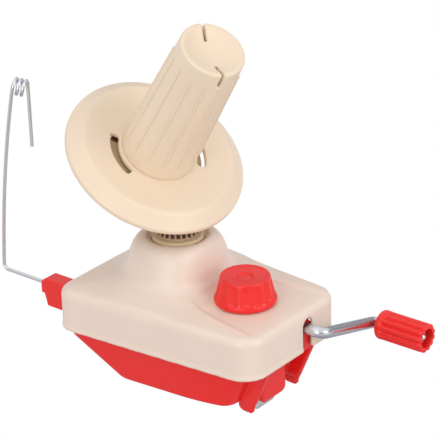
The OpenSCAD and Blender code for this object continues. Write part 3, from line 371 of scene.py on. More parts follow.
def lower_field(x, y, z):
    # Tub, the ledge between its leaning nose and the skirt, and the posts of the joining screws
    whole = tub(x, y, z, 0)
    ledge = np.maximum(np.maximum(drafted(x, y, z), np.abs(z - LEDGE_Z) - LEDGE_HALF), -x)
    body = np.maximum(np.minimum(whole, ledge), -tub(x, y, z, WALL))
    for px, py in JOINS:
        post = np.hypot(x - px, np.abs(y) - py)
        body = np.minimum(body, np.maximum(post - POST_R, whole + 0.3))
    # Stands of the crank shaft, which alone rise above the skirt's edge
    across = np.abs(y - CRANK_Y)
    crown = np.where(z > CRANK_Z, np.hypot(y - CRANK_Y, z - CRANK_Z), across) - STAND_R
    (inner_from, inner_to), (outer_from, outer_to) = STANDS
    stands = np.minimum(np.maximum(inner_from - x, x - inner_to),
                        np.maximum(outer_from - x, x - outer_to))
    stands = soft_max(crown, stands, 0.8)
    stands = np.maximum(stands, np.where(z < SKIRT_Z, whole + 0.3, -9))
    body = np.minimum(np.maximum(body, z - SKIRT_Z), stands)
    # Socket of the spindle's foot and post of the idler on the floor
    r = np.hypot(x, y)
    body = np.minimum(body, np.maximum(np.maximum(r - SOCKET_R, 1.5 - z), z - SOCKET_TOP))
    idler = np.hypot(x - IDLER_X, y - CRANK_Y)
    body = np.minimum(body, np.maximum(np.maximum(idler - IDLER_POST_R, 1.5 - z),
                                       z - IDLER_POST_TOP))
    # Legs with round toes that are a little thinner below the seat
    leg = outline(LEG_SIDE, x, z)
    for tx, tz, toe_r in LEG_TOES:
        leg = np.minimum(leg, np.hypot(x - tx, z - tz) - toe_r)
    thick = LEG_HALF - TOE_STEP * np.clip((TOE_Z - z) / 0.3, 0, 1)
    plates = np.minimum(np.abs(y - LEG_YS[0]) - thick, np.abs(y - LEG_YS[1]) - thick)
    body = soft_min(body, soft_max(leg, plates, 0.5), 0.5)
    # Guide of the clamp strip with a round-cornered lip below the seat
    lip_side, lip_low = np.abs(y) - LIP_HALF, LIP_LOW - z
    lip = np.hypot(np.maximum(lip_side, 0), np.maximum(lip_low, 0))
    lip = lip + np.minimum(np.maximum(lip_side, lip_low), 0) - LIP_R
    lip = soft_max(np.maximum(lip, z - 1), np.maximum(LIP_REAR - x, x - LIP_FRONT), 0.8)
    guide = slab(x, y, z, GUIDE_LOW, GUIDE_HIGH) - 0.2
    body = soft_min(body, np.minimum(guide, lip), 0.8)
    for low, high in STRIP_ROOM:
        body = np.maximum(body, -slab(x, y, z, low, high))
    # Bores of the shafts and screws
    bore = np.hypot(y - CRANK_Y, z - CRANK_Z)
    bushes = np.where(x > 25, BUSH_HOLE_R - bore, -9)
    body = np.maximum(body, np.where(x > 73.9, ROD_HOLE_R - bore, bushes))
    body = np.maximum(body, np.minimum(SOCKET_HOLE_R - r, z - 3))
    body = np.maximum(body, np.minimum(IDLER_HOLE_R - idler, z - WALL))
    for px, py in JOINS:
        post = np.hypot(x - px, np.abs(y) - py)
        body = np.maximum(body, 1.7 - post)
        recess = np.minimum(RECESS_R - post, (REAR_RECESS_Z if px < 0 else FRONT_RECESS_Z) - z)
        body = np.maximum(body, np.minimum(recess, -RECESS_RIM - tub(x, y, z + 6, 0)))
    return body


red = plastic("red plastic", RED, 0.26, 0.2)
hull = mould("hull", lower_field, (-46.6, -46.6, -6.2), (76.2, 46.6, 41.4), 0.9)
wear(hull, red, "housing", "red_plastic", "lower_shell")

# Guide block
# A red moulded block on the rear wall, held by a screw from inside.
# Its stepped nose grips the wire.
BLOCK_SIDE = [(-66.8, 24.9), (REAR_X, 24.9), (REAR_X, 41.5), (-67.5, 41.5), (-70.9, 39.2),
              (-70.9, 32.1), (-68.8, 32.1)]
WIRE_Y, WIRE_Z, BLOCK_HALF = -30.2, 36.1, 4.75


def block_field(x, y, z):
    body = soft_max(outline(BLOCK_SIDE, x, z), np.abs(y - WIRE_Y) - BLOCK_HALF, 1.2)
    wire = np.hypot(y - WIRE_Y, z - WIRE_Z)
    body = np.maximum(body, np.minimum(1.05 - wire, -52.6 - x))
    return np.maximum(body, np.minimum(1.5 - np.hypot(y - WIRE_Y, z - 28.3), x + 59.1))


wire_block = mould("wire_block", block_field, (-70.9, -35, 24.9), (REAR_X, -25.4, 41.5), 0.42)
wear(wire_block, red, "housing", "red_plastic", "guide_block")

# Yarn guide
# One bright steel wire: a straight leg in the block, an elbow, a slightly bowed upright and an
# open eye of two and a half turns that ends in a free tail. It swings about its leg.
WIRE_END_X, LEG_LEN, ELBOW_R, WIRE_RISE = -103.1, 50.3, 3, 110.8
FOOT_LEAN, EYE_LEAN, EYE_TURN = 3.7, 13.6, 30
EYE_R, EYE_STEP, TAIL_STEPS = 4, 2.7, (2, 8, 16, 26, 35.5)


def metal(name, colour, gloss, streak, axis):
    """Steel or brass with drawn streaks along one axis and small flecks."""
    material = bpy.data.materials.new(name)
    material.use_nodes = True
    tree = material.node_tree
    add = tree.nodes.new
    shader = tree.nodes["Principled BSDF"]
    shader.inputs["Metallic"].default_value = 1
    where, grain = add("ShaderNodeTexCoord"), add("ShaderNodeMapping")
    draw, fleck = add("ShaderNodeTexNoise"), add("ShaderNodeTexNoise")
    grain.inputs["Scale"].default_value = [0.05 if i == axis else 1 for i in range(3)]
    draw.inputs["Scale"].default_value = 2200
    fleck.inputs["Scale"].default_value = 160
    fleck.inputs["Detail"].default_value = 6
    link(tree, where.outputs["Object"], grain.inputs["Vector"])
    link(tree, grain.outputs["Vector"], draw.inputs["Vector"])
    link(tree, where.outputs["Object"], fleck.inputs["Vector"])
    tone = add("ShaderNodeMapRange")
    tone.inputs["To Min"].default_value = 0.88
    tone.inputs["To Max"].default_value = 1.06
    tint = add("ShaderNodeVectorMath")
    tint.operation = "SCALE"
    tint.inputs[0].default_value = colour
    link(tree, fleck.outputs["Fac"], tone.inputs["Value"])
    link(tree, tone.outputs["Result"], tint.inputs["Scale"])
    link(tree, tint.outputs["Vector"], shader.inputs["Base Color"])
    rough = add("ShaderNodeMapRange")
    rough.inputs["To Min"].default_value = gloss
    rough.inputs["To Max"].default_value = gloss + 0.16
    link(tree, draw.outputs["Fac"], rough.inputs["Value"])
    link(tree, rough.outputs["Result"], shader.inputs["Roughness"])
    bump = add("ShaderNodeBump")
    bump.inputs["Distance"].default_value = 0.00002
    bump.inputs["Strength"].default_value = streak
    link(tree, draw.outputs["Fac"], bump.inputs["Height"])
    link(tree, bump.outputs["Normal"], shader.inputs["Normal"])
    return material


def rod_tree():
    """Geometry nodes: a round rod with closed ends along a chain of edges."""
    tree = bpy.data.node_groups.new("round rod", "GeometryNodeTree")
    for name, kind in (("Path", "NodeSocketGeometry"), ("Radius", "NodeSocketFloat"),
                       ("Sides", "NodeSocketInt"), ("Finish", "NodeSocketMaterial")):
        tree.interface.new_socket(name, in_out="INPUT", socket_type=kind)
    tree.interface.new_socket("Rod", in_out="OUTPUT", socket_type="NodeSocketGeometry")
    add = tree.nodes.new
    entry, leave = add("NodeGroupInput"), add("NodeGroupOutput")
    line, ring = add("GeometryNodeMeshToCurve"), add("GeometryNodeCurvePrimitiveCircle")
    sweep, smooth = add("GeometryNodeCurveToMesh"), add("GeometryNodeSetShadeSmooth")
    real, coat = add("GeometryNodeRealizeInstances"), add("GeometryNodeSetMaterial")
    sweep.inputs["Fill Caps"].default_value = True
    link(tree, entry.outputs["Path"], line.inputs["Mesh"])
    link(tree, line.outputs["Curve"], sweep.inputs["Curve"])
    link(tree, entry.outputs["Sides"], ring.inputs["Resolution"])
    link(tree, entry.outputs["Radius"], ring.inputs["Radius"])
    link(tree, ring.outputs["Curve"], sweep.inputs["Profile Curve"])
    link(tree, sweep.outputs["Mesh"], smooth.inputs["Geometry"])
    link(tree, smooth.outputs["Geometry"], real.inputs["Geometry"])
    link(tree, real.outputs["Geometry"], coat.inputs["Geometry"])
    link(tree, entry.outputs["Finish"], coat.inputs["Material"])
    link(tree, coat.outputs["Geometry"], leave.inputs["Rod"])
    return tree


def bake(name, base, tree, **sizes):
    """Runs a tree on a mesh with the named sizes and keeps the result as a plain mesh."""
    piece = bpy.data.objects.new(name, base)
    bpy.context.scene.collection.objects.link(piece)
    modifier = piece.modifiers.new(name, "NODES")
    modifier.node_group = tree
    for socket in tree.interface.items_tree:
        if socket.in_out == "INPUT" and socket.name in sizes:
            modifier[socket.identifier] = sizes[socket.name]
    bpy.context.view_layer.update()
    ready = piece.evaluated_get(bpy.context.evaluated_depsgraph_get())
    made = bpy.data.meshes.new_from_object(ready)
    piece.modifiers.clear()
    piece.data = made
    return piece


def chain(name, points):
    """Mesh of edges through the points, which are in millimetres."""
    mesh = bpy.data.meshes.new(name)
    edges = [(i, i + 1) for i in range(len(points) - 1)]
    mesh.from_pydata([[c * 0.001 for c in p] for p in points], edges, [])
    return mesh


def wire_path():
    foot = np.array((WIRE_END_X, WIRE_Y, WIRE_Z))
    fore, lean, swing = (math.radians(a) for a in (FOOT_LEAN, EYE_LEAN, EYE_TURN))
    path = [foot + (LEG_LEN - 3.9 * i, 0, 0) for i in range(13)]
    path += [foot + (ELBOW_R * (1 - math.sin(a)), 0, ELBOW_R * (1 - math.cos(a)))
             for a in np.linspace(0, math.pi / 2 + fore, 14)]
    # The upright is an arc that leans a little more towards its top
    top = foot + (ELBOW_R * (1 - math.cos(fore)), 0, ELBOW_R * (1 + math.sin(fore)))
    bow = (WIRE_RISE - top[2] + foot[2]) / (math.sin(lean) - math.sin(fore))
    path += [top + (bow * (math.cos(fore) - math.cos(a)), 0, bow * (math.sin(a) - math.sin(fore)))
             for a in np.linspace(fore, lean, 28)[1:]]
    # The eye is a coil whose axis is square to the upright's end and swung round from the leg
    rising = np.array((math.sin(lean), 0, math.cos(lean)))
    swung = np.array((math.cos(swing), math.sin(swing), 0))
    axis = swung - (swung @ rising) * rising
    axis /= np.linalg.norm(axis)
    inward = np.cross(rising, axis)
    centre = path[-1] + EYE_R * inward
    path += [centre + EYE_R * (math.sin(a) * rising - math.cos(a) * inward)
             + EYE_STEP * a / math.tau * axis for a in np.linspace(0, 5 * math.pi, 100)[1:]]
    return path + [path[-1] - np.array((0, 0, s)) for s in TAIL_STEPS]


bright = metal("bright steel", (0.80, 0.81, 0.83), 0.12, 0.2, 2)
rod = rod_tree()
yarn_guide = bake("yarn_guide", chain("wire line", wire_path()), rod,
                  Radius=0.001, Sides=14, Finish=bright)
wear(yarn_guide, bright, "guide", "bright_steel", "guide_wire")

# Crank
# A plated steel rod bent twice: the shaft runs in two bushes in the hull,
# the far end carries the grip.
CRANK_DROP, CRANK_LEN, BEND_R, ARM_X = 15.5, 50.4, 4.2, 87.55
SHAFT_X, ROD_END_X = 20.98, 118.5


def crank_path():
    drop = math.radians(CRANK_DROP)

    def on_arm(x, out):
        return x, CRANK_Y + out * math.cos(drop), CRANK_Z - out * math.sin(drop)

    quarter = np.linspace(0, math.pi / 2, 14)
    path = [on_arm(x, 0) for x in np.linspace(SHAFT_X, 83, 18)]
    path += [on_arm(ARM_X - BEND_R + BEND_R * math.sin(a), BEND_R - BEND_R * math.cos(a))
             for a in quarter]
    path += [on_arm(ARM_X, s) for s in np.linspace(5, 45.4, 12)]
    path += [on_arm(ARM_X + BEND_R - BEND_R * math.cos(a),
                    CRANK_LEN - BEND_R + BEND_R * math.sin(a)) for a in quarter]
    return path + [on_arm(x, CRANK_LEN) for x in np.linspace(92.5, ROD_END_X, 8)]


plated = metal("plated rod", (0.68, 0.69, 0.72), 0.17, 0.5, 1)
crank = bake("crank", chain("crank line", crank_path()), rod,
             Radius=0.00315, Sides=32, Finish=plated)
wear(crank, plated, "crank", "bright_steel", "crank_rod")

# Grip
# A red fluted handle that turns on the crank's end, with a deep recess in its outer end
# where a bright domed push nut holds it.
GRIP_X, GRIP_Y, GRIP_Z = 92.05, 58.767, 22.231
GRIP_LEN, GRIP_R, FLUTE_DEEP = 29.6, 8.2, 1.6
GRIP_RECESS_R, GRIP_RECESS_AT, GRIP_HOLE_R = 5.3, 23.6, 3.25
NUT_X, NUT_R, NUT_HALF, DOME_R = 115.95, 3.3, 0.7, 2.1


def grip_field(x, y, z):
    along, r = x - GRIP_X, np.hypot(y - GRIP_Y, z - GRIP_Z)
    around = np.arctan2(z - GRIP_Z, y - GRIP_Y)
    lobe = np.abs(np.sin(6 * around)) ** 0.7
    fade = np.clip((along - 2.6) / 2, 0, 1)
    length = np.abs(along - GRIP_LEN / 2) - GRIP_LEN / 2
    body = soft_max(r - GRIP_R + FLUTE_DEEP * (1 - lobe) * fade, length, 1.6)
    recess = soft_max(r - GRIP_RECESS_R, GRIP_RECESS_AT - along, 0.8)
    body = soft_max(body, -recess, 0.9)
    return np.maximum(body, GRIP_HOLE_R - r)


grip = mould("grip", grip_field, (GRIP_X, 50.5, 14), (121.65, 67, 30.5), 0.4)
wear(grip, red, "grip", "red_plastic", "crank_grip")


def nut_field(x, y, z):
    along, r = x - NUT_X, np.hypot(y - GRIP_Y, z - GRIP_Z)
    plate = soft_max(r - NUT_R, np.abs(along - NUT_HALF) - NUT_HALF, 0.5)
    dome = soft_max(np.hypot(r, np.maximum(along - 2, 0)) - DOME_R, -along, 0.4)
    return soft_min(plate, dome, 0.5)


push_nut = mould("push_nut", nut_field, (NUT_X, 54.9, 18.4), (120.1, 62.6, 26.1), 0.22)
wear(push_nut, bright, "crank", "bright_steel", "grip_nut")

# Clamp knob
# A red fluted knob on a plain foot ring, with a thin rim and a shallow dimple on top.
# It turns the clamp screw through the floor of the pocket.
KNOB_Z, KNOB_TALL, KNOB_R, KNOB_TAPER = 47.2, 14.8, 16.1, 0.235
KNOB_FOOT_R, KNOB_FOOT_HALF, GROOVES, GROOVE_DEEP = 16.8, 1.5, 14, 1.1
TOP_R, TOP_AT, HOLLOW_R, DIMPLE_R, DIMPLE_AT = 11.4, 14.35, 60, 4.2, 12.9


def knob_field(x, y, z):
    r, around = np.hypot(x - KNOB_X, y), np.arctan2(y, x - KNOB_X)
    tall = z - KNOB_Z
    groove = (0.5 + 0.5 * np.cos(GROOVES * around)) ** 1.6
    fade = np.clip((tall - 2.4) / 1.5, 0, 1) * np.clip((13.6 - tall) / 2.2, 0, 1)
    flank = KNOB_R - KNOB_TAPER * np.maximum(tall - 3, 0)
    side = (r - flank + GROOVE_DEEP * groove * fade) * 0.93
    body = soft_max(side, np.maximum(-tall, tall - KNOB_TALL), 1)
    foot = soft_max(r - KNOB_FOOT_R, np.abs(tall - KNOB_FOOT_HALF) - KNOB_FOOT_HALF, 1.2)
    body = soft_min(body, foot, 0.9)
    # Top: sunk inside the rim, slightly hollow, with the dimple in its middle
    body = soft_max(body, -soft_max(r - TOP_R, TOP_AT - tall, 0.5), 0.4)
    body = soft_max(body, HOLLOW_R - np.hypot(r, tall - 73.7), 0.6)
    body = soft_max(body, -soft_max(r - DIMPLE_R, DIMPLE_AT - tall, 0.8), 0.8)
    return np.maximum(body, np.minimum(3.05 - r, 12 - tall))


knob = mould("knob", knob_field, (28.5, -KNOB_FOOT_R, KNOB_Z), (62.1, KNOB_FOOT_R, 62), 0.5)
wear(knob, red, "knob", "red_plastic", "clamp_knob")

# Clamp strip
# A flat plated steel strip bent into a hook: the upper arm carries the nut of the clamp screw
# inside the hull, the lower arm is the jaw under the table.
STRIP_HALF, STRIP_THICK_HALF, STRIP_BEND_R, BEND_X = 6.3, 1.25, 2.75, 54.5
UPPER_ARM_X, UPPER_ARM_Z, LOWER_ARM_X, LOWER_ARM_Z = 40.3, 24.85, 25.8, -11.65


def strip_path():
    quarter = np.linspace(0, math.pi / 2, 7)
    path = [(UPPER_ARM_X, UPPER_ARM_Z), (BEND_X, UPPER_ARM_Z)]
    path += [(BEND_X + STRIP_BEND_R * math.sin(a), 22.1 + STRIP_BEND_R * math.cos(a))
             for a in quarter]
    path += [(BEND_X + STRIP_BEND_R * math.cos(a), -8.9 - STRIP_BEND_R * math.sin(a))
             for a in quarter]
    return path + [(LOWER_ARM_X, LOWER_ARM_Z)]


def strip_field(x, y, z):
    path = strip_path()
    far = np.full(np.shape(x), 1e9)
    for (ax, az), (bx, bz) in zip(path, path[1:]):
        ex, ez = bx - ax, bz - az
        t = np.clip(((x - ax) * ex + (z - az) * ez) / max(ex * ex + ez * ez, 1e-9), 0, 1)
        far = np.minimum(far, np.hypot(x - ax - t * ex, z - az - t * ez))
    body = soft_max(far - STRIP_THICK_HALF, np.abs(y) - STRIP_HALF, 0.5)
    return np.maximum(body, np.minimum(SCREW_HOLE_R - np.hypot(x - KNOB_X, y), z))


clamp_strip = mould("clamp_strip", strip_field, (24.5, -STRIP_HALF, -12.9),
                    (58.5, STRIP_HALF, 26.1), 0.5)
wear(clamp_strip, bright, "jaw", "bright_steel", "clamp_bracket")

# Winding cone
# A cream hollow cone with a dished, slotted top and fourteen fine ribs. It stands on the disc,
# on an axle that leans to the crank end.
IVORY = (0.82, 0.665, 0.505)
AXLE = (Matrix.Translation((0, 0, 0.1376)) @ Matrix.Rotation(math.radians(-11.1), 4, "Z")
        @ Matrix.Rotation(math.radians(34.8), 4, "Y"))
SCREWS = [(13.6 * math.cos(math.radians(a)), 13.6 * math.sin(math.radians(a)))
          for a in (30, 150, 270)]
CONE_FOOT, CONE_R, CONE_TAPER, CONE_LEN, CONE_WALL = -23.8, 20.2, 0.0334, 83.8, 2.4
CEILING_AT, CORE_R, CORE_TOP, AXLE_HOLE_R = 76.9, 7.4, 37.8, 4
DISC_BOSS_R, DISC_BOSS_TOP, THREAD_R = 3.5, 10, 1.5
BOWL_R, BOWL_AT, SLOT_TURN, SLOT_HALF, SLOT_AT = 28.1, 107.4, -16.5, 0.85, 74.8


def cone_field(x, y, z):
    r, tall = np.hypot(x, y), z - CONE_FOOT
    wall = CONE_R - CONE_TAPER * tall
    body = soft_max(soft_max(r - wall, tall - CONE_LEN, 1.4), -tall, 0.4)
    hollow = np.maximum(r - wall + CONE_WALL, CONE_WALL - tall)
    body = np.maximum(body, -np.maximum(hollow, tall - CEILING_AT))
    # Core for the axle, and bosses for the screws of the disc
    body = np.minimum(body, np.maximum(np.maximum(r - CORE_R, -3 - tall), tall - CORE_TOP))
    for sx, sy in SCREWS:
        boss = np.hypot(x - sx, y - sy)
        post = np.maximum(np.maximum(boss - DISC_BOSS_R, 0.2 - tall), tall - DISC_BOSS_TOP)
        body = np.minimum(body, post)
        body = np.maximum(body, np.minimum(THREAD_R - boss, 8 - tall))
    body = np.maximum(body, np.minimum(AXLE_HOLE_R - r, 35.8 - tall))
    # Dished top with a slot across, left whole in its middle
    body = soft_max(body, BOWL_R - np.hypot(r, tall - BOWL_AT), 0.8)
    cut = math.radians(SLOT_TURN)
    slot = np.abs(y * math.cos(cut) - x * math.sin(cut)) - SLOT_HALF
    return soft_max(body, -np.maximum(np.maximum(slot, SLOT_AT - tall), 8 - r), 0.4)


ivory = plastic("ivory plastic", IVORY, 0.34, 0.25)
cone = mould("cone", cone_field, (-CONE_R, -CONE_R, -26.8), (CONE_R, CONE_R, 60), 0.72, AXLE)
wear(cone, ivory, "cone", "cream_plastic", "winding_cone")


def rib_tree():
    """Geometry nodes: slim ribs with thin ends, laid up a cone at even steps round its axis."""
    tree = bpy.data.node_groups.new("cone ribs", "GeometryNodeTree")
    for name, kind in (("Base", "NodeSocketGeometry"), ("Foot", "NodeSocketVector"),
                       ("Head", "NodeSocketVector"), ("Width", "NodeSocketFloat"),
                       ("Height", "NodeSocketFloat"), ("Count", "NodeSocketInt"),
                       ("Finish", "NodeSocketMaterial")):
        tree.interface.new_socket(name, in_out="INPUT", socket_type=kind)
    tree.interface.new_socket("Ribs", in_out="OUTPUT", socket_type="NodeSocketGeometry")
    add = tree.nodes.new
    entry, leave = add("NodeGroupInput"), add("NodeGroupOutput")
    line, fine = add("GeometryNodeCurvePrimitiveLine"), add("GeometryNodeResampleCurve")
    fine.inputs["Count"].default_value = 24
    link(tree, entry.outputs["Foot"], line.inputs["Start"])
    link(tree, entry.outputs["Head"], line.inputs["End"])
    link(tree, line.outputs["Curve"], fine.inputs["Curve"])
    # The rib swells from nearly nothing within the first and last twentieth of its length
    along, centre = add("GeometryNodeSplineParameter"), add("ShaderNodeMath")
    swell, cap = add("ShaderNodeMapRange"), add("GeometryNodeSetCurveRadius")
    centre.operation = "PINGPONG"
    centre.inputs[1].default_value = 0.5
    swell.inputs["From Max"].default_value = 0.05
    swell.inputs["To Min"].default_value = 0.02
    link(tree, along.outputs["Factor"], centre.inputs[0])
    link(tree, centre.outputs["Value"], swell.inputs["Value"])
    link(tree, fine.outputs["Curve"], cap.inputs["Curve"])
    link(tree, swell.outputs["Result"], cap.inputs["Radius"])
    ring, size = add("GeometryNodeCurvePrimitiveCircle"), add("ShaderNodeCombineXYZ")
    flat, sweep = add("GeometryNodeTransform"), add("GeometryNodeCurveToMesh")
    ring.inputs["Resolution"].default_value = 12
    ring.inputs["Radius"].default_value = 1
    size.inputs["Z"].default_value = 1
    sweep.inputs["Fill Caps"].default_value = True
    link(tree, entry.outputs["Height"], size.inputs["X"])
    link(tree, entry.outputs["Width"], size.inputs["Y"])
    link(tree, ring.outputs["Curve"], flat.inputs["Geometry"])
    link(tree, size.outputs["Vector"], flat.inputs["Scale"])
    link(tree, cap.outputs["Curve"], sweep.inputs["Curve"])
    link(tree, flat.outputs["Geometry"], sweep.inputs["Profile Curve"])
    # Copies at even steps round the axis, the first a little over half a step on
    spots, copy = add("GeometryNodePoints"), add("GeometryNodeInstanceOnPoints")
    number, spin = add("GeometryNodeInputIndex"), add("ShaderNodeCombineXYZ")
    shift, share, full = (add("ShaderNodeMath") for _ in range(3))
    shift.inputs[1].default_value = 0.57
    share.operation = "DIVIDE"
    full.operation = "MULTIPLY"
    full.inputs[1].default_value = math.tau
    link(tree, entry.outputs["Count"], spots.inputs["Count"])
    link(tree, number.outputs["Index"], shift.inputs[0])
    link(tree, shift.outputs["Value"], share.inputs[0])
    link(tree, entry.outputs["Count"], share.inputs[1])
    link(tree, share.outputs["Value"], full.inputs[0])
    link(tree, full.outputs["Value"], spin.inputs["Z"])
    link(tree, spots.outputs["Points"], copy.inputs["Points"])
    link(tree, sweep.outputs["Mesh"], copy.inputs["Instance"])
    link(tree, spin.outputs["Vector"], copy.inputs["Rotation"])
    smooth, real = add("GeometryNodeSetShadeSmooth"), add("GeometryNodeRealizeInstances")
    coat = add("GeometryNodeSetMaterial")
    link(tree, copy.outputs["Instances"], smooth.inputs["Geometry"])
    link(tree, smooth.outputs["Geometry"], real.inputs["Geometry"])
    link(tree, real.outputs["Geometry"], coat.inputs["Geometry"])
    link(tree, entry.outputs["Finish"], coat.inputs["Material"])
    link(tree, coat.outputs["Geometry"], leave.inputs["Ribs"])
    return tree


cone_ribs = bake("cone_ribs", bpy.data.meshes.new("rib start"), rib_tree(),
                 Foot=(0.01985, 0, -0.0138), Head=(0.01773, 0, 0.0502),
                 Width=0.00075, Height=0.0006, Count=14, Finish=ivory)
cone_ribs.data.transform(AXLE)
wear(cone_ribs, ivory, "cone", "cream_plastic")

# Disc
# A cream moulded disc under the cone: level floor with two arc slots, a soft raised ridge
# and a rim that drops away. Three screws hold it to the cone's foot.
DISC_R, DISC_THICK, RIM_LOW = 50, 2.9, -30.9
FLOOR_R, RIDGE_R, RIDGE_TOP = 29.2, 42, -22.1
FLOOR_SLOPE, RIM_SLOPE = 0.1172, 0.8
ARC_R, ARC_HALF, ARC_SPAN, ARC_TURN = 24.4, 2.4, 31, 104.5
HEAD_R, HEAD_Z = 3, -25.2


def disc_field(x, y, z):
    r = np.hypot(x, y)
    face = soft_max(CONE_FOOT, CONE_FOOT + (r - FLOOR_R) * FLOOR_SLOPE, 0.4)
    face = soft_min(face, RIDGE_TOP - (r - RIDGE_R) * RIM_SLOPE, 1.6)
    body = soft_max(z - face, face - DISC_THICK - z, 0.8) * np.where(r > RIDGE_R, 0.78, 0.99)
    body = soft_max(soft_max(body, r - DISC_R, 0.5), CORE_R - r, 0.2)
    body = soft_max(body, RIM_LOW - z, 0.3)
    around = np.arctan2(y, x) + math.radians(ARC_TURN)
    away = np.abs((around + math.pi / 2) % math.pi - math.pi / 2) * r
    slot = soft_max(np.abs(r - ARC_R) - ARC_HALF, away - math.radians(ARC_SPAN) * r, 1.6)
    body = soft_max(body, -slot, 0.6)
    for sx, sy in SCREWS:
        hole = np.hypot(x - sx, y - sy)
        body = np.maximum(body, THREAD_R - hole)
        body = np.maximum(body, np.minimum(HEAD_R - hole, HEAD_Z - z))
    return body


disc = mould("disc", disc_field, (-DISC_R, -DISC_R, -31), (DISC_R, DISC_R, -22), 0.52, AXLE)
wear(disc, ivory, "cone", "cream_plastic", "flange_disc")

# Rotor head
# A tan moulded arm on the top of the spindle. Its slanted boss carries the cone's axle in a bush,
# and a round guard on the boss keeps yarn out of the gears.
TAN = (0.50, 0.37, 0.21)
# Painted shade: a dark brown patch on the guard, standing in for the shadow under the disc
GUARD_SHADE, SHADE_SPOT_AT = (0.12, 0.036, 0.009, 1), (-0.033, -0.0085, 0.1249)
SHADE_SPOT_R, SHADE_SPOT_CORE_R = 0.0043, 0.0038
ARM_SIDE = [(0, -51.5), (24.2, -51.5), (32.02, -46.07), (25.51, -36.71), (19.51, -28.8), (0, -28.8)]
ARM_HALF, AXLE_BOSS_R, AXLE_BOSS_LOW, AXLE_BOSS_TOP = 6, 8.6, -52.3, -28
HUB_R, HUB_LOW, HUB_TOP = 7.4, 80.7, 93.7
GUARD_R, GUARD_Z, GUARD_HALF = 25.8, -28.9, 0.9
# Colour sockets of a Mix node, by number because its other sockets have the same names
MIX_A, MIX_B, MIX_OUT = 6, 7, 2


def rotor_field(x, y, z):
    inverse = AXLE.inverted()
    px, py, pz = (inverse[i][0] * x + inverse[i][1] * y + inverse[i][2] * z + inverse[i][3] * 1000
                  for i in range(3))
    out = np.hypot(px, py)
    arm = soft_max(outline(ARM_SIDE, px, pz), np.abs(py) - ARM_HALF, 1.2)
    boss = soft_max(out - AXLE_BOSS_R, np.maximum(AXLE_BOSS_LOW - pz, pz - AXLE_BOSS_TOP), 0.8)
    hub = soft_max(np.hypot(x, y) - HUB_R, np.maximum(HUB_LOW - z, z - HUB_TOP), 0.8)
    guard = soft_max(out - GUARD_R, np.abs(pz - GUARD_Z) - GUARD_HALF, 0.6)
    body = soft_min(np.minimum(soft_min(arm, boss, 1.5), guard), hub, 1.5)
    return np.maximum(np.maximum(body, 3 - np.hypot(x, y)), 5.6 - out)


def tan_with_painted_shade():
    """Tan plastic with a dark brown patch of painted shade on one side of the guard."""
    material = plastic("tan plastic", TAN, 0.45, 0.3)
    tree = material.node_tree
    add = tree.nodes.new
    where, away = add("ShaderNodeTexCoord"), add("ShaderNodeVectorMath")
    shade_spot, mix = add("ShaderNodeMapRange"), add("ShaderNodeMix")
    # Painted shade: dark brown inside a small round patch, fading out at its edge
    away.operation = "DISTANCE"
    away.inputs[1].default_value = SHADE_SPOT_AT
    shade_spot.inputs["From Min"].default_value = SHADE_SPOT_R
    shade_spot.inputs["From Max"].default_value = SHADE_SPOT_CORE_R
    mix.data_type = "RGBA"
    mix.inputs[MIX_B].default_value = GUARD_SHADE
    link(tree, where.outputs["Object"], away.inputs[0])
    link(tree, away.outputs["Value"], shade_spot.inputs["Value"])
    link(tree, shade_spot.outputs["Result"], mix.inputs["Factor"])
    link(tree, tree.nodes["Group"].outputs["Colour"], mix.inputs[MIX_A])
    link(tree, mix.outputs[MIX_OUT], tree.nodes["Principled BSDF"].inputs["Base Color"])
    return material


tan = tan_with_painted_shade()
rotor_low, rotor_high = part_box("rotor_head")
rotor_arm = mould("rotor_arm", rotor_field, [c * 1000 for c in rotor_low],
                  [c * 1000 for c in rotor_high], 0.62)
wear(rotor_arm, tan, "rotor", "cream_plastic", "rotor_head")

# Gears, bushes, pins, screws and pad
# Natural nylon gears, turned brass bushes, satin steel small parts and the jaw's rubber pad,
# made to exact size and kept as they are under a finish of their own.
NYLON, GEAR_RING_NYLON = (0.72, 0.60, 0.46), (0.78, 0.62, 0.42)
# Painted shade on the fixed gear's teeth: near black between them, a shaded brown at the tips
TOOTH_GAP_SHADE, TOOTH_TIP_SHADE = (0.06, 0.018, 0.005, 1), (0.50, 0.32, 0.20, 1)
ROOT_R, TIP_R, RING_TOP, TEETH_FOOT = 0.0107, 0.0124, 0.0748, 0.0754
nylon = plastic("natural nylon", NYLON, 0.45, 0.35)
satin = metal("satin steel", (0.56, 0.57, 0.60), 0.28, 0.5, 2)
brass = metal("turned brass", (0.72, 0.52, 0.22), 0.24, 0.4, 0)
rubber = plastic("pad rubber", (0.025, 0.025, 0.028), 0.65, 0.8)


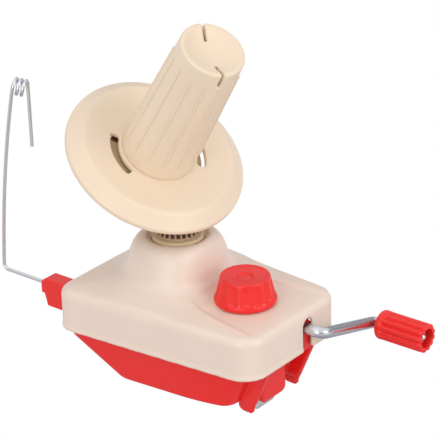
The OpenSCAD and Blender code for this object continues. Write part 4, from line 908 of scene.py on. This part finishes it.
def nylon_with_painted_tooth_shade():
    """Gear plastic whose teeth carry painted shade, near black at the roots and a shaded brown at
    the tips, plain below the teeth.
    """
    material = plastic("nylon with painted tooth shade", GEAR_RING_NYLON, 0.42, 0.35)
    tree = material.node_tree
    add = tree.nodes.new
    where, parts = add("ShaderNodeTexCoord"), add("ShaderNodeSeparateXYZ")
    flat, away = add("ShaderNodeCombineXYZ"), add("ShaderNodeVectorMath")
    away.operation = "LENGTH"
    link(tree, where.outputs["Object"], parts.inputs["Vector"])
    link(tree, parts.outputs["X"], flat.inputs["X"])
    link(tree, parts.outputs["Y"], flat.inputs["Y"])
    link(tree, flat.outputs["Vector"], away.inputs[0])
    # From the root to the tip of a tooth, and from the ring up to the teeth
    deep, tall = add("ShaderNodeMapRange"), add("ShaderNodeMapRange")
    deep.inputs["From Min"].default_value = ROOT_R
    deep.inputs["From Max"].default_value = TIP_R
    tall.inputs["From Min"].default_value = RING_TOP
    tall.inputs["From Max"].default_value = TEETH_FOOT
    link(tree, away.outputs["Value"], deep.inputs["Value"])
    link(tree, parts.outputs["Z"], tall.inputs["Value"])
    # The teeth's colour is painted shade, darkest at the roots; the ring below keeps the plain
    # colour
    tooth, whole = add("ShaderNodeMix"), add("ShaderNodeMix")
    for mix, amount in ((tooth, deep), (whole, tall)):
        mix.data_type = "RGBA"
        link(tree, amount.outputs["Result"], mix.inputs["Factor"])
    tooth.inputs[MIX_A].default_value = TOOTH_GAP_SHADE
    tooth.inputs[MIX_B].default_value = TOOTH_TIP_SHADE
    link(tree, tree.nodes["Group"].outputs["Colour"], whole.inputs[MIX_A])
    link(tree, tooth.outputs[MIX_OUT], whole.inputs[MIX_B])
    link(tree, whole.outputs[MIX_OUT], tree.nodes["Principled BSDF"].inputs["Base Color"])
    return material


tooth_shade_nylon = nylon_with_painted_tooth_shade()
for finish_now, names in (
        (tooth_shade_nylon, ("fixed_gear",)),
        (nylon, ("crank_gear", "idler_gear", "spindle_pinion", "hub_gear")),
        (satin, ("housing_screws", "idler_pin", "idler_ring", "guide_screw", "knob_washer",
                 "crank_ring", "spindle_shaft", "spindle_ring", "flange_screws", "cone_axle",
                 "axle_ring", "clamp_screw", "clamp_ring", "clamp_nut")),
        (brass, ("spindle_bush", "crank_bushes", "axle_bush")),
        (rubber, ("jaw_pad",))):
    for name in names:
        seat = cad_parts[name].material_slots[0]
        seat.link = "OBJECT"
        seat.material = finish_now

# Light
# A white surround with even light: a broad soft lamp above, one from the crank side and one
# from the front. Plated parts mirror grey bands, and the camera sees plain white.
LOW_LIGHT, HIGH_LIGHT, LIGHT_LEVEL = (0.80, 0.78, 0.77, 1), (1, 1, 1, 1), 0.82
LOW_BAND, HIGH_BAND = (0.38, 0.36, 0.42, 1), (0.95, 0.95, 1, 1)
BANDS = ((0.30, 0.62), (0.44, 0.95), (0.52, 0.6), (0.57, 0.30), (0.65, 0.26), (0.73, 0.8),
         (0.84, 0.95))
world = bpy.data.worlds.new("white cove")
bpy.context.scene.world = world
world.use_nodes = True
sky = world.node_tree
add = sky.nodes.new
plain = sky.nodes["Background"]
soft, mirrored = add("ShaderNodeBackground"), add("ShaderNodeBackground")
plain.inputs["Color"].default_value = (1, 1, 1, 1)
plain.inputs["Strength"].default_value = 1
soft.inputs["Strength"].default_value = LIGHT_LEVEL
where, parts = add("ShaderNodeTexCoord"), add("ShaderNodeSeparateXYZ")
height = add("ShaderNodeMapRange")
height.inputs["From Min"].default_value = -1
link(sky, where.outputs["Generated"], parts.inputs["Vector"])
link(sky, parts.outputs["Z"], height.inputs["Value"])
ramp, bands = add("ShaderNodeValToRGB"), add("ShaderNodeValToRGB")
for stop, at, colour in zip(ramp.color_ramp.elements, (0.1, 0.75), (LOW_LIGHT, HIGH_LIGHT)):
    stop.position = at
    stop.color = colour
bands.color_ramp.elements[0].color = LOW_BAND
bands.color_ramp.elements[1].color = HIGH_BAND
for at, tone in BANDS:
    band = bands.color_ramp.elements.new(at)
    band.color = (tone * 0.97, tone * 0.96, tone, 1)
link(sky, height.outputs["Result"], ramp.inputs["Fac"])
link(sky, ramp.outputs["Color"], soft.inputs["Color"])
link(sky, height.outputs["Result"], bands.inputs["Fac"])
link(sky, bands.outputs["Color"], mirrored.inputs["Color"])
ray = add("ShaderNodeLightPath")
gleam, choose = add("ShaderNodeMixShader"), add("ShaderNodeMixShader")
link(sky, ray.outputs["Is Glossy Ray"], gleam.inputs["Fac"])
link(sky, soft.outputs["Background"], gleam.inputs[1])
link(sky, mirrored.outputs["Background"], gleam.inputs[2])
link(sky, ray.outputs["Is Camera Ray"], choose.inputs["Fac"])
link(sky, gleam.outputs["Shader"], choose.inputs[1])
link(sky, plain.outputs["Background"], choose.inputs[2])
link(sky, choose.outputs["Shader"], sky.nodes["World Output"].inputs["Surface"])


def lamp(name, place, aim, size, power):
    data = bpy.data.lights.new(name, "AREA")
    data.size = size
    data.energy = power
    piece = bpy.data.objects.new(name, data)
    piece.location = place
    piece.rotation_euler = (Vector(aim) - Vector(place)).to_track_quat("-Z", "Y").to_euler()
    bpy.context.scene.collection.objects.link(piece)


lamp("top lamp", (-0.25, -0.35, 1.0), (0, 0, 0.08), 0.8, 0.7)
lamp("crank side lamp", (0.9, 0.1, 0.45), (0, 0, 0.07), 0.6, 2.5)
lamp("front lamp", (0.25, -1.0, 0.4), (0, 0, 0.08), 0.6, 2.6)
bpy.context.scene.view_settings.view_transform = "Standard"
